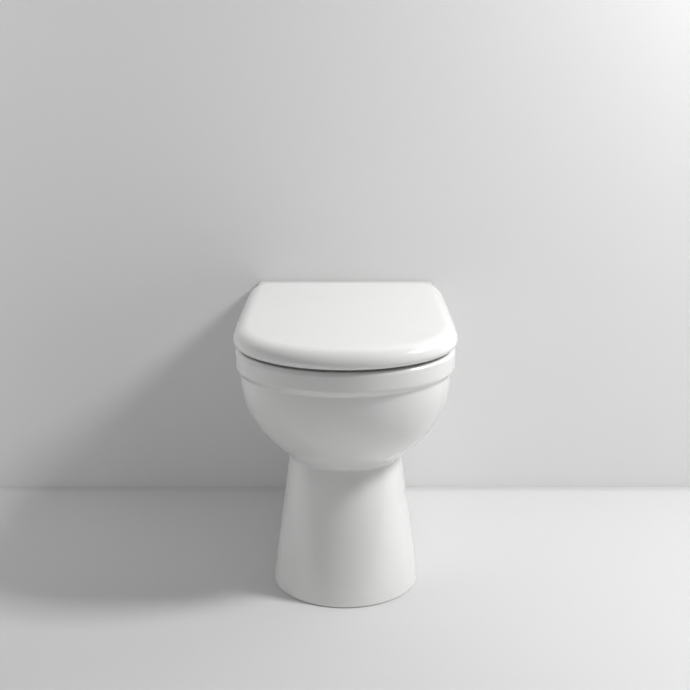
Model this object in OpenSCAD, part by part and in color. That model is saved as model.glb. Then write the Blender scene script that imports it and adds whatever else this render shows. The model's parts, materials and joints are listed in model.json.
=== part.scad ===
// Back to wall toilet: a pedestal pan with a soft-close seat and lid.
// Millimetres. X runs across, the front faces -Y and Z is up. The origin is on the
// floor, below the middle of the whole object. "From the wall" is a distance that runs
// towards the front, measured from the pan's flat back.

/* [Rim] */
// Height of the pan's rim above the floor
rim_height = 405; // [395:1:430]
// Front of the rim, from the wall
rim_front = 518; // [508:1:530]
// Widest width of the rim
rim_width = 347; // [340:1:354]
// Width of the shelf at the wall
shelf_width = 318; // [312:1:324]
// Where the pan is widest, from the wall
rim_widest_at = 385; // [375:1:392]
// Height of the flat band round the rim
band_height = 31; // [24:1:34]
// How far the bowl steps in below the band
band_step = 7; // [4:0.5:9]
// Radius of the rim's outer top edge
rim_edge_radius = 7; // [4:0.5:9]
// Radius of the pan's rear upright corners
back_corner_radius = 5; // [3:0.5:8]
// Width of the opening in the rim
opening_width = 236; // [226:1:240]
// Rear of the opening, from the wall
opening_rear = 192; // [190:1:200]
// Front of the opening, from the wall
opening_front = 470; // [462:1:474]
// Depth of the lip that hangs inside the rim
lip_depth = 34; // [28:1:36]
// How far the bowl runs out behind the lip
lip_undercut = 26; // [18:1:28]

/* [Bowl] */
// Fullness of the bowl's outside
bowl_fullness = 2.2; // [2:0.1:2.4]
// Thickness of the bowl's wall
bowl_wall = 14; // [12:0.5:15]
// Height at which the bowl meets the pedestal at the sides
crease_height_side = 212; // [206:1:216]
// Height at which the bowl meets the pedestal in front
crease_height_front = 219; // [216:1:226]
// Width of the sump at the bottom of the bowl
sump_width = 84; // [80:1:90]
// Rear of the sump, from the wall
sump_rear = 250; // [248:1:253]
// Front of the sump, from the wall
sump_front = 338; // [332:1:346]
// Height of the sump's floor
sump_floor = 45; // [42:1:46]
// Height of the top of the sump
sump_top = 186; // [182:1:190]

/* [Pedestal] */
// Width of the pedestal where it meets the bowl
pedestal_top_width = 182; // [176:1:188]
// Width of the pedestal at the floor
pedestal_foot_width = 237; // [230:1:244]
// Front of the pedestal where it meets the bowl, from the wall
pedestal_top_front = 438; // [432:1:444]
// Where the pedestal is widest where it meets the bowl, from the wall
pedestal_top_widest_at = 338; // [330:1:345]
// Front of the pedestal at the floor, from the wall
pedestal_foot_front = 491; // [480:1:498]
// Thickness of the pedestal's wall
pedestal_wall = 13; // [11:0.5:14]
// Radius of the foot's bottom edge
foot_edge_radius = 3; // [2:0.5:4]

/* [Trapway] */
// Bore of the trapway
trap_bore = 76; // [72:1:78]
// Thickness of the trapway's wall
trap_wall = 8; // [6:0.5:9]
// Height of the passage out of the sump
passage_height = 86; // [84:1:88]
// Height of the trapway's middle at its crest
crest_height = 212; // [208:1:214]
// Height of the outlet's middle
outlet_height = 185; // [182:1:187]
// Outside diameter of the outlet spigot
outlet_diameter = 102; // [100:1:106]
// Thickness of the outlet spigot's wall
outlet_wall = 8; // [6:0.5:9]
// How far the outlet stops short of the wall
outlet_set_back = 5; // [3:1:10]

/* [Flush inlet] */
// Depth of the inlet's middle below the rim
inlet_drop = 75; // [74:1:80]
// Bore of the inlet socket
inlet_bore = 55; // [50:1:56]
// Thickness of the inlet socket's wall
inlet_wall = 6; // [5:0.5:6.5]
// How far the socket stops short of the wall
inlet_set_back = 70; // [60:1:90]
// Diameter of the way from the socket into the bowl
inlet_port = 36; // [28:1:38]

/* [Seat] */
// Gap between the rim and the underside of the seat
seat_gap = 5; // [4:0.5:6]
// Thickness of the seat ring
seat_thickness = 14; // [12:0.5:14.5]
// Width of the hole in the seat
seat_hole_width = 212; // [204:1:218]
// Rear of the hole in the seat, from the wall
seat_hole_rear = 202; // [198:1:208]
// Front of the hole in the seat, from the wall
seat_hole_front = 452; // [446:1:456]
// Space between the seat ring and the lid's skirt
seat_clearance = 2.5; // [2:0.5:4]
// Length of a seat buffer
buffer_length = 30; // [24:1:34]
// Width of a seat buffer
buffer_width = 11; // [9:1:13]
// Side position of the front buffers
front_buffer_x = 80; // [76:1:84]
// How far the front buffers lie behind the rim's front
front_buffer_inset = 49; // [46:1:52]
// How far the rear buffers lie inside the rim's widest sides
rear_buffer_inset = 33; // [31:1:35]
// How far the rear buffers lie in front of the opening's rear
rear_buffer_ahead = 60; // [50:1:70]

/* [Lid] */
// How far the lid overhangs the rim at the sides
lid_overhang = 3.5; // [3:0.5:5]
// How far the lid overhangs the rim in front
lid_front_overhang = 2; // [1:0.5:4]
// Rear edge of the lid, from the wall
lid_rear = 125; // [124.5:0.5:128]
// Height of the lid's top above the rim
lid_rise = 35; // [34:0.5:35.5]
// Height of the lid's widest line above the rim
lid_waist = 13; // [11:0.5:15]
// Gap between the rim and the lid's bottom edge
lid_gap = 4.5; // [4:0.5:6]
// Width of the rounding round the lid's top
lid_round = 29; // [24:1:32]
// Width of the rounding along the lid's rear top edge
lid_rear_round = 15; // [12:1:18]
// How far the lid's bottom edge tucks in
lid_tuck = 6; // [4:0.5:8]
// Thickness of the lid
lid_wall = 3.6; // [3:0.2:4]
// Radius of the lid's rear corners in plan
lid_corner_radius = 38; // [32:1:42]
// How far the lid's top falls towards the rear
lid_fall = 2; // [1:0.5:4]
// Diameter of a lid buffer
lid_buffer_diameter = 10; // [8:1:12]

/* [Hinges] */
// Distance between the two fixing bolts
hinge_spacing = 155; // [152:1:158]
// Hinge axis, from the wall
hinge_from_wall = 112; // [111:0.5:112.5]
// Height of the hinge axis above the rim
hinge_rise = 19; // [18.5:0.5:20.5]
// Radius of the hinge knuckles
knuckle_radius = 7; // [6.75:0.25:7.5]
// Diameter of the hinge pins
pin_diameter = 6; // [5:0.5:7]
// Width of a hinge post
post_width = 18; // [16:1:20]
// Width of a hinge knuckle
knuckle_width = 12; // [10:1:13]
// Side gap between a post and its knuckles
knuckle_gap = 0.4; // [0.3:0.1:0.6]
// Radial clearance of the pins in the knuckles
pin_clearance = 0.05; // [0.03:0.01:0.08]
// Diameter of a post's foot
post_foot_diameter = 34; // [30:1:35]
// Thickness of a post's foot
post_foot_thickness = 3.6; // [3:0.2:4]
// Diameter of a damper cartridge
damper_diameter = 10.8; // [10:0.2:11]
// Length of a damper cartridge
damper_length = 26; // [22:1:28]
// Diameter of the fixing bolts
bolt_diameter = 8; // [6:1:8]
// How far the fixing bolts reach below the rim
bolt_reach = 66; // [60:1:70]
// Diameter of the holes in the shelf
bolt_hole = 14; // [13:0.5:16]

/* [Floor fixing] */
// Height of the side screws
side_screw_height = 30; // [28:1:34]
// Side screws, from the wall
side_screw_from_wall = 190; // [180:1:200]
// Diameter of a side screw
side_screw_diameter = 5; // [4:0.5:6]
// Diameter of the holes in the pedestal's sides
side_hole = 10; // [9:0.5:11]
// Diameter of a side screw's cap
cap_diameter = 14.4; // [13:0.2:16]
// How far a cap stands out
cap_height = 5; // [4:0.5:6]
// Length of a floor block along the wall-to-front line
block_length = 46; // [40:1:50]
// Diameter of the floor screw's hole in a block
floor_screw_hole = 7; // [6:0.5:8]

/* [Hidden] */

$fn = 64;
// Clearance where two fixed pieces meet round a bore
fit = 0.05;
// Clearance where a fired joint is luted
lute = 0.3;
// How far a cutter runs past the face that it opens
past = 1;

// Steps round one half of a plan outline
rear_steps = 3;
corner_steps = 4;
side_steps = 5;
front_steps = 12;

lid_front = rim_front + lid_front_overhang;
// Middle of the whole object, from the wall
middle = lid_front / 2;
shelf_thickness = lip_depth;
shelf_underside = rim_height - shelf_thickness;
hinge_height = rim_height + hinge_rise;
hinge_x = hinge_spacing / 2;

function mix(a, b, s) = a + (b - a) * s;
function smooth(s) = let (c = min(1, max(0, s))) c * c * (3 - 2 * c);
function y_of(from_wall) = middle - from_wall;

// A plan outline is [width, rear width, rear, front, widest at, rear corner radius].
// Widths are halves. Rear, front and widest are distances from the wall.
function inset(o, by, rear_by) =
    [o[0] - by, o[1] - by, o[2] + rear_by, o[3] - by, o[4], max(2, o[5] - by)];
function mix_outline(a, b, s) = [for (i = [0 : 5]) mix(a[i], b[i], s)];
function shrink(o, s) =
    let (c = (o[2] + o[3]) / 2)
    [o[0] * s, o[1] * s, mix(c, o[2], s), mix(c, o[3], s), mix(c, o[4], s), o[5] * s];

// Half width of an outline at a distance from the wall, behind its widest point
function side_x(o, d) =
    o[0] - (o[0] - o[1]) * pow(max(0, (o[4] - d) / (o[4] - o[2])), 1.2);

// One closed ring of points round an outline, from the rear middle by the right side.
// z holds the heights at the rear, the sides and the front. full shapes the front curve.
function ring(o, z, full = 2) =
    let (
        corner_x = side_x(o, o[2] + o[5]) - o[5],
        corner_y = o[2] + o[5],
        half = concat(
            [for (j = [0 : rear_steps - 1]) [corner_x * j / rear_steps, o[2], z[0]]],
            [for (j = [0 : corner_steps]) let (a = 90 * j / corner_steps)
                [corner_x + o[5] * sin(a), corner_y - o[5] * cos(a),
                 mix(z[0], z[1], j / corner_steps)]],
            [for (j = [1 : side_steps - 1]) let (d = mix(corner_y, o[4], j / side_steps))
                [side_x(o, d), d, z[1]]],
            [for (j = [0 : front_steps]) let (a = 90 * j / front_steps)
                [o[0] * pow(cos(a), 2 / full), o[4] + (o[3] - o[4]) * pow(sin(a), 2 / full),
                 mix(z[1], z[2], pow(sin(a), 2))]]),
        n = len(half))
    concat([for (p = half) [p[0], y_of(p[1]), p[2]]],
           [for (j = [n - 2 : -1 : 1]) [-half[j][0], y_of(half[j][1]), half[j][2]]]);

function level(h) = [h, h, h];
function centre(points, i = 0, sum = [0, 0, 0]) =
    i == len(points) ? sum / len(points) : centre(points, i + 1, sum + points[i]);

// A closed skin over a list of rings. It closes on itself, or ends in a point at the
// middle of its first and last rings.
module skin(rings, round = false) {
    n = len(rings[0]);
    m = len(rings);
    bands = round ? m : m - 1;
    sides = [for (k = [0 : bands - 1]) for (j = [0 : n - 1])
        let (a = k * n + j, b = k * n + (j + 1) % n,
             c = ((k + 1) % m) * n + j, d = ((k + 1) % m) * n + (j + 1) % n)
        each [[b, a, c], [b, c, d]]];
    ends = round ? [] : [for (j = [0 : n - 1])
        each [[n * m, j, (j + 1) % n],
              [n * m + 1, (m - 1) * n + (j + 1) % n, (m - 1) * n + j]]];
    tips = round ? [] : [centre(rings[0]), centre(rings[m - 1])];
    polyhedron(points = concat([for (r = rings) each r], tips), faces = concat(sides, ends));
}

// A cylinder that runs towards the front, between two distances from the wall
module run_y(r, from, to, x, z) {
    translate([x, y_of(to), z]) rotate([-90, 0, 0]) cylinder(r = r, h = to - from);
}

// A cylinder that runs across, from one side position to another
module run_x(r, from, to, from_wall, z) {
    translate([from, y_of(from_wall), z]) rotate([0, 90, 0]) cylinder(r = r, h = to - from);
}

module both_sides() {
    children();
    mirror([1, 0, 0]) children();
}

inlet_height = rim_height - inlet_drop;

// ---- Pan -------------------------------------------------------------------------

rim_outline = [rim_width / 2, shelf_width / 2, 0, rim_front, rim_widest_at,
               back_corner_radius];
// Opening: how much narrower its rear is, how far its widest place lies behind the rim's,
// and the radius of its rear corners
opening_rear_taper = 8;
opening_set_back = 42;
opening_corner = 84;
opening_outline = [opening_width / 2, opening_width / 2 - opening_rear_taper, opening_rear,
                   opening_front, rim_widest_at - opening_set_back, opening_corner];
// Radii of the lip's lower and upper inner edges
lip_lower_edge = 4;
lip_upper_edge = 8;
// Height of the sloping ledge below the band
band_ledge = 8;
bowl_top = rim_height - band_height - band_ledge;
bowl_rim_outline = [rim_outline[0] - band_step, rim_outline[1] - band_step, 0,
                    rim_front - band_step, rim_widest_at, back_corner_radius];
// How much narrower the pan gets towards the wall
taper = shelf_width / rim_width;
pedestal_top_outline = [pedestal_top_width / 2, pedestal_top_width / 2 * taper, 0,
                        pedestal_top_front, pedestal_top_widest_at, back_corner_radius];
foot_taper = 0.86;
pedestal_foot_outline = [pedestal_foot_width / 2, pedestal_foot_width / 2 * foot_taper, 0,
                         pedestal_foot_front, pedestal_foot_front - pedestal_foot_width / 2,
                         back_corner_radius];
sump_rear_taper = 2;
sump_bottom_radius = 24;
sump_outline = [sump_width / 2, sump_width / 2 - sump_rear_taper, sump_rear, sump_front,
                (sump_rear + sump_front) / 2, sump_width / 2 - 2 * sump_rear_taper];

// Share of the way down from the band to the crease
function bowl_way(h) = (bowl_top - h) / (bowl_top - crease_height_side);
// How much higher the bowl's rings lie in front than at the sides
function bowl_lift(h) = (crease_height_front - crease_height_side) * pow(bowl_way(h), 3);

// The bowl's outline whose sides lie at a height. It draws back towards the wall as it
// shrinks, and its front lies higher than its sides.
function bowl_outline(h) =
    mix_outline(bowl_rim_outline, pedestal_top_outline,
                pow(max(0, bowl_way(h)), bowl_fullness));
function pedestal_outline(h) =
    mix_outline(pedestal_foot_outline, pedestal_top_outline, h / crease_height_side);

// Inside of the bowl against its outside: how much narrower its rear is and how far its
// widest place lies behind the outside's
inner_rear_taper = 18;
inner_set_back = 20;
// Its rear, in front of the opening's at the top and behind the sump's at the bottom
inner_rear_ahead = 6;
inner_rear_behind = 4;
// Radius of its rear corners, at the top and at the sump
inner_corner_top = 70;
inner_corner_bottom = 46;
// Share of the way down from which it draws in to the sump
sump_blend = 0.72;

// Inside of the bowl: a wall's thickness in, drawn down to the sump
function inner_bowl_outline(h) =
    let (v = (bowl_top - h) / (bowl_top - sump_top),
         o = bowl_outline(max(h, crease_height_side)),
         s = smooth((v - sump_blend) / (1 - sump_blend)))
    mix_outline([o[0] - bowl_wall, o[0] - bowl_wall - inner_rear_taper,
                 mix(opening_rear + inner_rear_ahead, sump_rear - inner_rear_behind, v),
                 o[3] - bowl_wall, o[4] - inner_set_back,
                 mix(inner_corner_top, inner_corner_bottom, v)],
                sump_outline, s);

well_outline = inset(sump_outline, -bowl_wall, -bowl_wall);
// Thickness between the pedestal's hollow and the bowl, and the ease of the hollow's edges
pocket_roof = 16;
pocket_ease = 8;
pocket_top = sump_top - pocket_roof;

pan_rings = concat(
    // Sump floor and well
    [for (a = [22, 45, 68, 90]) ring(shrink(sump_outline, sin(a)),
                                     level(sump_floor + sump_bottom_radius * (1 - cos(a))))],
    // Inside of the bowl, upwards
    [for (k = [0 : 9]) let (h = mix(sump_top, bowl_top, smooth(k / 9) * 0.35 + k / 9 * 0.65))
        ring(inner_bowl_outline(h), level(h))],
    // Underside and inner face of the lip
    [ring(inset(opening_outline, -lip_undercut, -lip_lower_edge), level(shelf_underside)),
     ring(inset(opening_outline, -lip_lower_edge, 1 - lip_lower_edge), level(shelf_underside)),
     ring(opening_outline, level(shelf_underside + lip_lower_edge))],
    [for (a = [0, 45, 90]) let (out = -lip_upper_edge * (1 - cos(a)))
        ring(inset(opening_outline, out, out),
             level(rim_height - lip_upper_edge * (1 - sin(a))))],
    // Outer edge of the rim, band and step
    [for (a = [0, 30, 60, 90])
        ring(inset(rim_outline, rim_edge_radius * (1 - sin(a)), 0),
             level(rim_height - rim_edge_radius * (1 - cos(a))))],
    [for (p = [[0, 0], [0.25, 0.3], [0.8, 0.7], [1, 1]])
        ring(mix_outline(rim_outline, bowl_rim_outline, p[0]),
             level(rim_height - band_height - band_ledge * p[1]))],
    // Outside of the bowl, downwards
    [for (k = [1 : 11]) let (h = mix(bowl_top, crease_height_side, k / 11))
        ring(bowl_outline(h), [h, h, h + bowl_lift(h)])],
    // Pedestal and foot
    [for (k = [1 : 4]) let (h = mix(crease_height_side, foot_edge_radius, k / 4),
                           lift = (crease_height_front - crease_height_side) * (1 - k / 4))
        ring(pedestal_outline(h), [h, h, h + lift])],
    [ring(inset(pedestal_outline(0), foot_edge_radius, 0), level(0))],
    // Hollow of the pedestal, upwards, then down round the well
    [for (h = [0, pocket_top / 3, pocket_top * 2 / 3, pocket_top - pocket_ease])
        ring(inset(pedestal_outline(h), pedestal_wall, pedestal_wall), level(h))],
    [for (s = [0.35, 0.8])
        ring(mix_outline(inset(pedestal_outline(pocket_top), pedestal_wall, pedestal_wall),
                         well_outline, s), level(pocket_top))],
    [ring(well_outline, level(pocket_top - pocket_ease))],
    [for (a = [90, 60, 30])
        ring(shrink(well_outline, sin(a)),
             level(sump_floor - bowl_wall + sump_bottom_radius * (1 - cos(a))))]);

trap_outer = trap_bore / 2 + trap_wall;
// Depth of the trapway's seat in the well's rear wall, and where it ends, from the wall
trap_seat_depth = 12;
trap_seat = sump_rear + trap_seat_depth;
// Thickness of the china between the rear space and the opening
cavity_wall = 12;
cavity_front = opening_rear - cavity_wall;
// Room round the trapway's rise: its clearance, how far its front lies behind the seat,
// and how far above the sump's top its front leans back, over the rear space's front
trap_room = 3;
rise_set_back = 34;
rise_lean = 2;
lean_reach = 4;
rise_front = trap_seat - rise_set_back;
// Rounded corners under the shelf: where they start, and how far in they end
roof_start = 12;
roof_ease = [5, 3];
roof_corner = 15;

// Section of the space behind the bowl, open at the back. It follows the pan's sides.
module rear_space_section() {
    heights = [for (k = [0 : 6]) mix(crease_height_side, bowl_top - roof_start, k / 6)];
    half = concat([[pedestal_outline(0)[1] - pedestal_wall, -past]],
                  [for (h = heights) [bowl_outline(h)[1] - bowl_wall, h]],
                  [[bowl_rim_outline[1] - bowl_wall - roof_ease[0], bowl_top - roof_ease[1]],
                   [bowl_rim_outline[1] - bowl_wall - roof_corner, shelf_underside]]);
    n = len(half);
    polygon(concat(half, [for (j = [n - 1 : -1 : 0]) [-half[j][0], half[j][1]]]));
}

module rear_space() {
    translate([0, y_of(-past), 0]) rotate([90, 0, 0])
        linear_extrude(height = cavity_front + past) rear_space_section();
    // Room for the trapway's rise and crest
    room_rear = y_of(cavity_front / 2);
    room_top = crest_height + trap_outer + trap_room;
    translate([-trap_outer - trap_room, 0, 0]) rotate([90, 0, 90])
        linear_extrude(height = 2 * (trap_outer + trap_room))
            polygon([[room_rear, -past], [y_of(rise_front), -past],
                     [y_of(rise_front), sump_top + rise_lean],
                     [y_of(cavity_front + lean_reach), room_top], [room_rear, room_top]]);
}

// Outside of the pedestal at the side screws, after its seat for the sleeve is ground flat
seat_grind = 1;
side_seat_x = side_x(pedestal_outline(side_screw_height), side_screw_from_wall) - seat_grind;
// Radius of a floor block's upright, and its clearance from the pedestal's inside
upright_radius = 10;
upright_clearance = 1.5;
side_inner_x = side_x(pedestal_outline(side_screw_height + upright_radius),
                      side_screw_from_wall - upright_radius)
               - pedestal_wall - upright_clearance;
// How far the flush's way in runs past the opening's rear
port_reach = 30;

module pan_china() {
    difference() {
        skin(pan_rings);
        rear_space();
        // Seat and passage for the trapway
        run_y(trap_outer + lute, rise_front - past, trap_seat, 0, passage_height);
        run_y(trap_bore / 2, trap_seat - past, (sump_rear + sump_front) / 2, 0, passage_height);
        // Way in for the flush
        run_y(inlet_port / 2, cavity_front - past, opening_rear + port_reach, 0, inlet_height);
        both_sides() {
            translate([hinge_x, y_of(hinge_from_wall), shelf_underside - past])
                cylinder(d = bolt_hole, h = shelf_thickness + 2 * past);
            run_x(side_hole / 2, side_inner_x, side_seat_x + past,
                  side_screw_from_wall, side_screw_height);
            run_x(cap_diameter / 2 + seat_grind, side_seat_x, side_seat_x + cap_height,
                  side_screw_from_wall, side_screw_height);
        }
    }
}

// The casting is kept as three nodes that meet on level seams, one just below the ledge
// and one just below the crease, so that each one's collision shape can stay open
rim_seam_drop = 2;
crease_seam_drop = 4;
rim_seam = bowl_top - rim_seam_drop;
crease_seam = crease_height_side - crease_seam_drop;

module pan_between(low, high) {
    intersection() {
        pan_china();
        translate([-rim_width, y_of(rim_front + past), low])
            cube([2 * rim_width, rim_front + 2 * past, high - low]);
    }
}

module rim() { color("white") pan_between(rim_seam, rim_height + past); }
module bowl() { color("white") pan_between(crease_seam, rim_seam); }
module pedestal() { color("white") pan_between(-past, crease_seam); }

// ---- Trapway ---------------------------------------------------------------------

// The way's middle line is a list of [from the wall, height, heading]. A heading of 0 runs
// rearwards and a positive one climbs.
function ahead(p, length) = [p[0] - length * cos(p[2]), p[1] + length * sin(p[2]), p[2]];
function turned(p, radius, turn) =
    let (s = sign(turn), t = p[2] + turn)
    [p[0] - s * radius * (sin(t) - sin(p[2])), p[1] - s * radius * (cos(t) - cos(p[2])), t];
function bend(p, radius, turn, steps) =
    [for (k = [1 : steps]) turned(p, radius, turn * k / steps)];
function last(list) = list[len(list) - 1];

rise_angle = 80;
fall_angle = 35;
rise_radius = 52;
crest_radius = 50;
fall_radius = 50;
trap_start = 36;
// Points round the way's section
way_sides = 28;
// Straight lengths that bring the way to its crest and then to the outlet's height
rise_length = (crest_height - passage_height - (rise_radius + crest_radius)
               * (1 - cos(rise_angle))) / sin(rise_angle);
fall_length = (crest_height - outlet_height - (crest_radius + fall_radius)
               * (1 - cos(fall_angle))) / sin(fall_angle);

way_start = [trap_seat - lute, passage_height, 0];
rise_foot = ahead(way_start, trap_start);
rise_bend = bend(rise_foot, rise_radius, rise_angle, 7);
crest_bend = bend(ahead(last(rise_bend), rise_length), crest_radius,
                  -rise_angle - fall_angle, 11);
fall_bend = bend(ahead(last(crest_bend), fall_length), fall_radius, fall_angle, 4);
// The outlet's collar starts where the way is level again, and the way runs on inside it
collar_start = last(fall_bend)[0];
collar_length = 12;
way_run_in = 6;
// How much wider than the way the collar is cut, so that the way's own end closes it
collar_room = 1;
way = concat([way_start, rise_foot], rise_bend,
             [ahead(last(rise_bend), rise_length)], crest_bend,
             [ahead(last(crest_bend), fall_length)], fall_bend,
             [ahead(last(fall_bend), way_run_in)]);

function way_ring(p, r) =
    [for (j = [0 : way_sides - 1]) let (a = 360 * j / way_sides)
        [r * cos(a), y_of(p[0]) - r * sin(a) * sin(p[2]), p[1] + r * sin(a) * cos(p[2])]];

module trapway() {
    n = len(way);
    color("white") union() {
        skin(concat([for (p = way) way_ring(p, trap_bore / 2)],
                    [for (k = [n - 1 : -1 : 0]) way_ring(way[k], trap_outer)]), true);
        difference() {
            run_y(outlet_diameter / 2, outlet_set_back, collar_start, 0, outlet_height);
            run_y(outlet_diameter / 2 - outlet_wall, outlet_set_back - past,
                  collar_start - collar_length, 0, outlet_height);
            run_y(trap_bore / 2 + collar_room, outlet_set_back, collar_start + past, 0,
                  outlet_height);
        }
    }
}

// ---- Flush inlet -----------------------------------------------------------------

inlet_bead = 3;
inlet_bead_length = 10;
inlet_end = 12;

module flush_inlet_socket() {
    color("white") difference() {
        union() {
            run_y(inlet_bore / 2 + inlet_wall, inlet_set_back, cavity_front - fit,
                  0, inlet_height);
            run_y(inlet_bore / 2 + inlet_wall + inlet_bead, inlet_set_back,
                  inlet_set_back + inlet_bead_length, 0, inlet_height);
        }
        run_y(inlet_bore / 2, inlet_set_back - past, cavity_front - inlet_end, 0, inlet_height);
        run_y(inlet_port / 2, inlet_set_back, cavity_front + past, 0, inlet_height);
    }
}

// ---- Lid -------------------------------------------------------------------------

// How much the lid's sides flare at the rear, and how far its widest place lies behind
// the rim's
lid_rear_flare = 2;
lid_set_back = 7;
lid_outline = [rim_width / 2 + lid_overhang, shelf_width / 2 + lid_overhang + lid_rear_flare,
               lid_rear, lid_front, rim_widest_at - lid_set_back, lid_corner_radius];
lid_top = rim_height + lid_rise;
lid_bottom = rim_height + lid_gap;
lid_waist_height = rim_height + lid_waist;
// Fullness of the lid's front curve, its top's fall to the sides and its rear edge's tuck
lid_full = 2.12;
lid_edge_fall = 1.5;
lid_rear_tuck = 1.5;
lid_edge_outline = inset(lid_outline, lid_round, lid_rear_round);

// Heights of the lid's top round its edge, before the crown
function lid_edge_height(share) =
    [mix(lid_waist_height, lid_top - lid_fall, share),
     mix(lid_waist_height, lid_top - lid_edge_fall, share),
     mix(lid_waist_height, lid_top - lid_edge_fall, share)];
function raise(points, share) =
    [for (p = points) [p[0], p[1], mix(p[2], lid_top, share)]];

lid_rings = concat(
    // Top, from the middle outwards
    [for (s = [0.25, 0.55, 0.8]) raise(ring(shrink(lid_edge_outline, s), lid_edge_height(1),
                                            lid_full), 1 - s * s)],
    // Rounding and waist
    [for (a = [90, 72, 54, 36, 18, 0])
        ring(inset(lid_outline, lid_round * (1 - cos(a)), lid_rear_round * (1 - cos(a))),
             lid_edge_height(sin(a)), lid_full)],
    // Tuck under the waist
    [for (a = [35, 65, 90])
        ring(inset(lid_outline, lid_tuck * (1 - cos(a)), lid_rear_tuck * (1 - cos(a))),
             level(mix(lid_waist_height, lid_bottom, sin(a))), mix(lid_full, 2, sin(a)))],
    // Inside of the skirt, upwards, and the underside of the top
    [for (a = [90, 45])
        ring(inset(lid_outline, lid_tuck * (1 - cos(a)) + lid_wall,
                   lid_rear_tuck * (1 - cos(a)) + lid_wall),
             level(mix(lid_waist_height, lid_bottom, sin(a))), mix(lid_full, 2, sin(a)))],
    [for (a = [0, 25, 50, 72, 90])
        ring(inset(lid_outline, lid_wall + (lid_round - lid_wall) * (1 - cos(a)),
                   lid_wall + (lid_rear_round - lid_wall) * (1 - cos(a))),
             lid_edge_height(sin(a)) - level(lid_wall * sin(a)), lid_full)],
    [for (s = [0.8, 0.55, 0.25])
        [for (p = raise(ring(shrink(lid_edge_outline, s), lid_edge_height(1), lid_full),
                        1 - s * s)) [p[0], p[1], p[2] - lid_wall]]]);

knuckle_inner_x = hinge_x - post_width / 2 - knuckle_gap - knuckle_width;
knuckle_outer_x = hinge_x + post_width / 2 + knuckle_gap;
damper_bore = damper_diameter / 2 + fit;
pin_bore = pin_diameter / 2 + pin_clearance;
damper_play = 1;
damper_room = damper_length + damper_play;

// Lid buffers: how far outside the seat's hole and behind its front they lie
lid_buffer_outside = 24;
lid_buffer_behind = 40;
lid_buffer_x = seat_hole_width / 2 + lid_buffer_outside;
lid_buffer_from_wall = seat_hole_front - lid_buffer_behind;
seat_top = rim_height + seat_gap + seat_thickness;
lid_buffer_height = 3;
// The bosses over the buffers: their margin round a buffer, and how far they end below
// the middle of the lid's wall
lid_boss_margin = 2;
lid_boss_drop = 2;
// The lid's arms: how far they bite into its rear wall, and their faces from the axis
lid_arm_bite = 2;
lid_arm_low = -5;
lid_arm_high = knuckle_radius - 2;
// Notches in the lid's rear wall for the seat's arms
notch_margin = 1.5;
notch_depth = 20;
notch_rise = 2;

// An arm that carries a knuckle: a block from the axis to the piece that it belongs to
module arm(from, width, reach, low, high) {
    translate([from, y_of(hinge_from_wall + reach), hinge_height + low])
        cube([width, reach, high - low]);
}

module lid_notch(width) {
    translate([knuckle_outer_x - notch_margin, y_of(lid_rear + notch_depth), lid_bottom - past])
        cube([width + 2 * notch_margin, notch_depth + past,
              hinge_height + notch_rise - lid_bottom + past]);
}

module lid() {
    color("white") difference() {
        union() {
            skin(lid_rings);
            both_sides() {
                run_x(knuckle_radius, knuckle_inner_x, knuckle_inner_x + knuckle_width,
                      hinge_from_wall, hinge_height);
                arm(knuckle_inner_x, knuckle_width, lid_rear - hinge_from_wall + lid_arm_bite,
                    lid_arm_low, lid_arm_high);
                translate([lid_buffer_x, y_of(lid_buffer_from_wall),
                           seat_top + lid_buffer_height + fit])
                    cylinder(d = lid_buffer_diameter + 2 * lid_boss_margin,
                             h = lid_top - lid_wall / 2 - lid_boss_drop - seat_top
                                 - lid_buffer_height);
            }
            // Longer knuckle that holds the lid's damper
            run_x(knuckle_radius, -knuckle_inner_x - fit, -knuckle_inner_x + damper_room,
                  hinge_from_wall, hinge_height);
            arm(-knuckle_inner_x - fit, damper_room, lid_rear - hinge_from_wall + lid_arm_bite,
                lid_arm_low, lid_arm_high);
        }
        both_sides()
            run_x(pin_bore, knuckle_inner_x - past, knuckle_inner_x + knuckle_width + past,
                  hinge_from_wall, hinge_height);
        run_x(damper_bore, -knuckle_inner_x, -knuckle_inner_x + damper_room + past,
              hinge_from_wall, hinge_height);
        // Notches in the rear wall for the seat's arms
        lid_notch(knuckle_width + damper_room);
        mirror([1, 0, 0]) lid_notch(knuckle_width);
    }
}

module lid_buffers() {
    color("whitesmoke") both_sides()
        translate([lid_buffer_x, y_of(lid_buffer_from_wall), seat_top + lute])
            cylinder(d = lid_buffer_diameter, h = lid_buffer_height - lute);
}

// ---- Seat ------------------------------------------------------------------------

// How far the ring starts in front of the hinge axis, and how far its arms bite into it
seat_set_forward = 26;
seat_arm_bite = 12;
seat_rear = hinge_from_wall + seat_set_forward;
seat_outer_outline = let (o = inset(lid_outline, lid_tuck + lid_wall + seat_clearance, 0))
    [o[0], o[1], seat_rear, o[3], o[4], o[5]];
// The hole: how much narrower its rear is, how far its widest place lies behind the rim's,
// and the radius of its rear corners
seat_hole_rear_taper = 6;
seat_hole_set_back = 58;
seat_hole_corner = 74;
seat_hole_outline = [seat_hole_width / 2, seat_hole_width / 2 - seat_hole_rear_taper,
                     seat_hole_rear, seat_hole_front, rim_widest_at - seat_hole_set_back,
                     seat_hole_corner];
seat_middle = rim_height + seat_gap + seat_thickness / 2;

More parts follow.
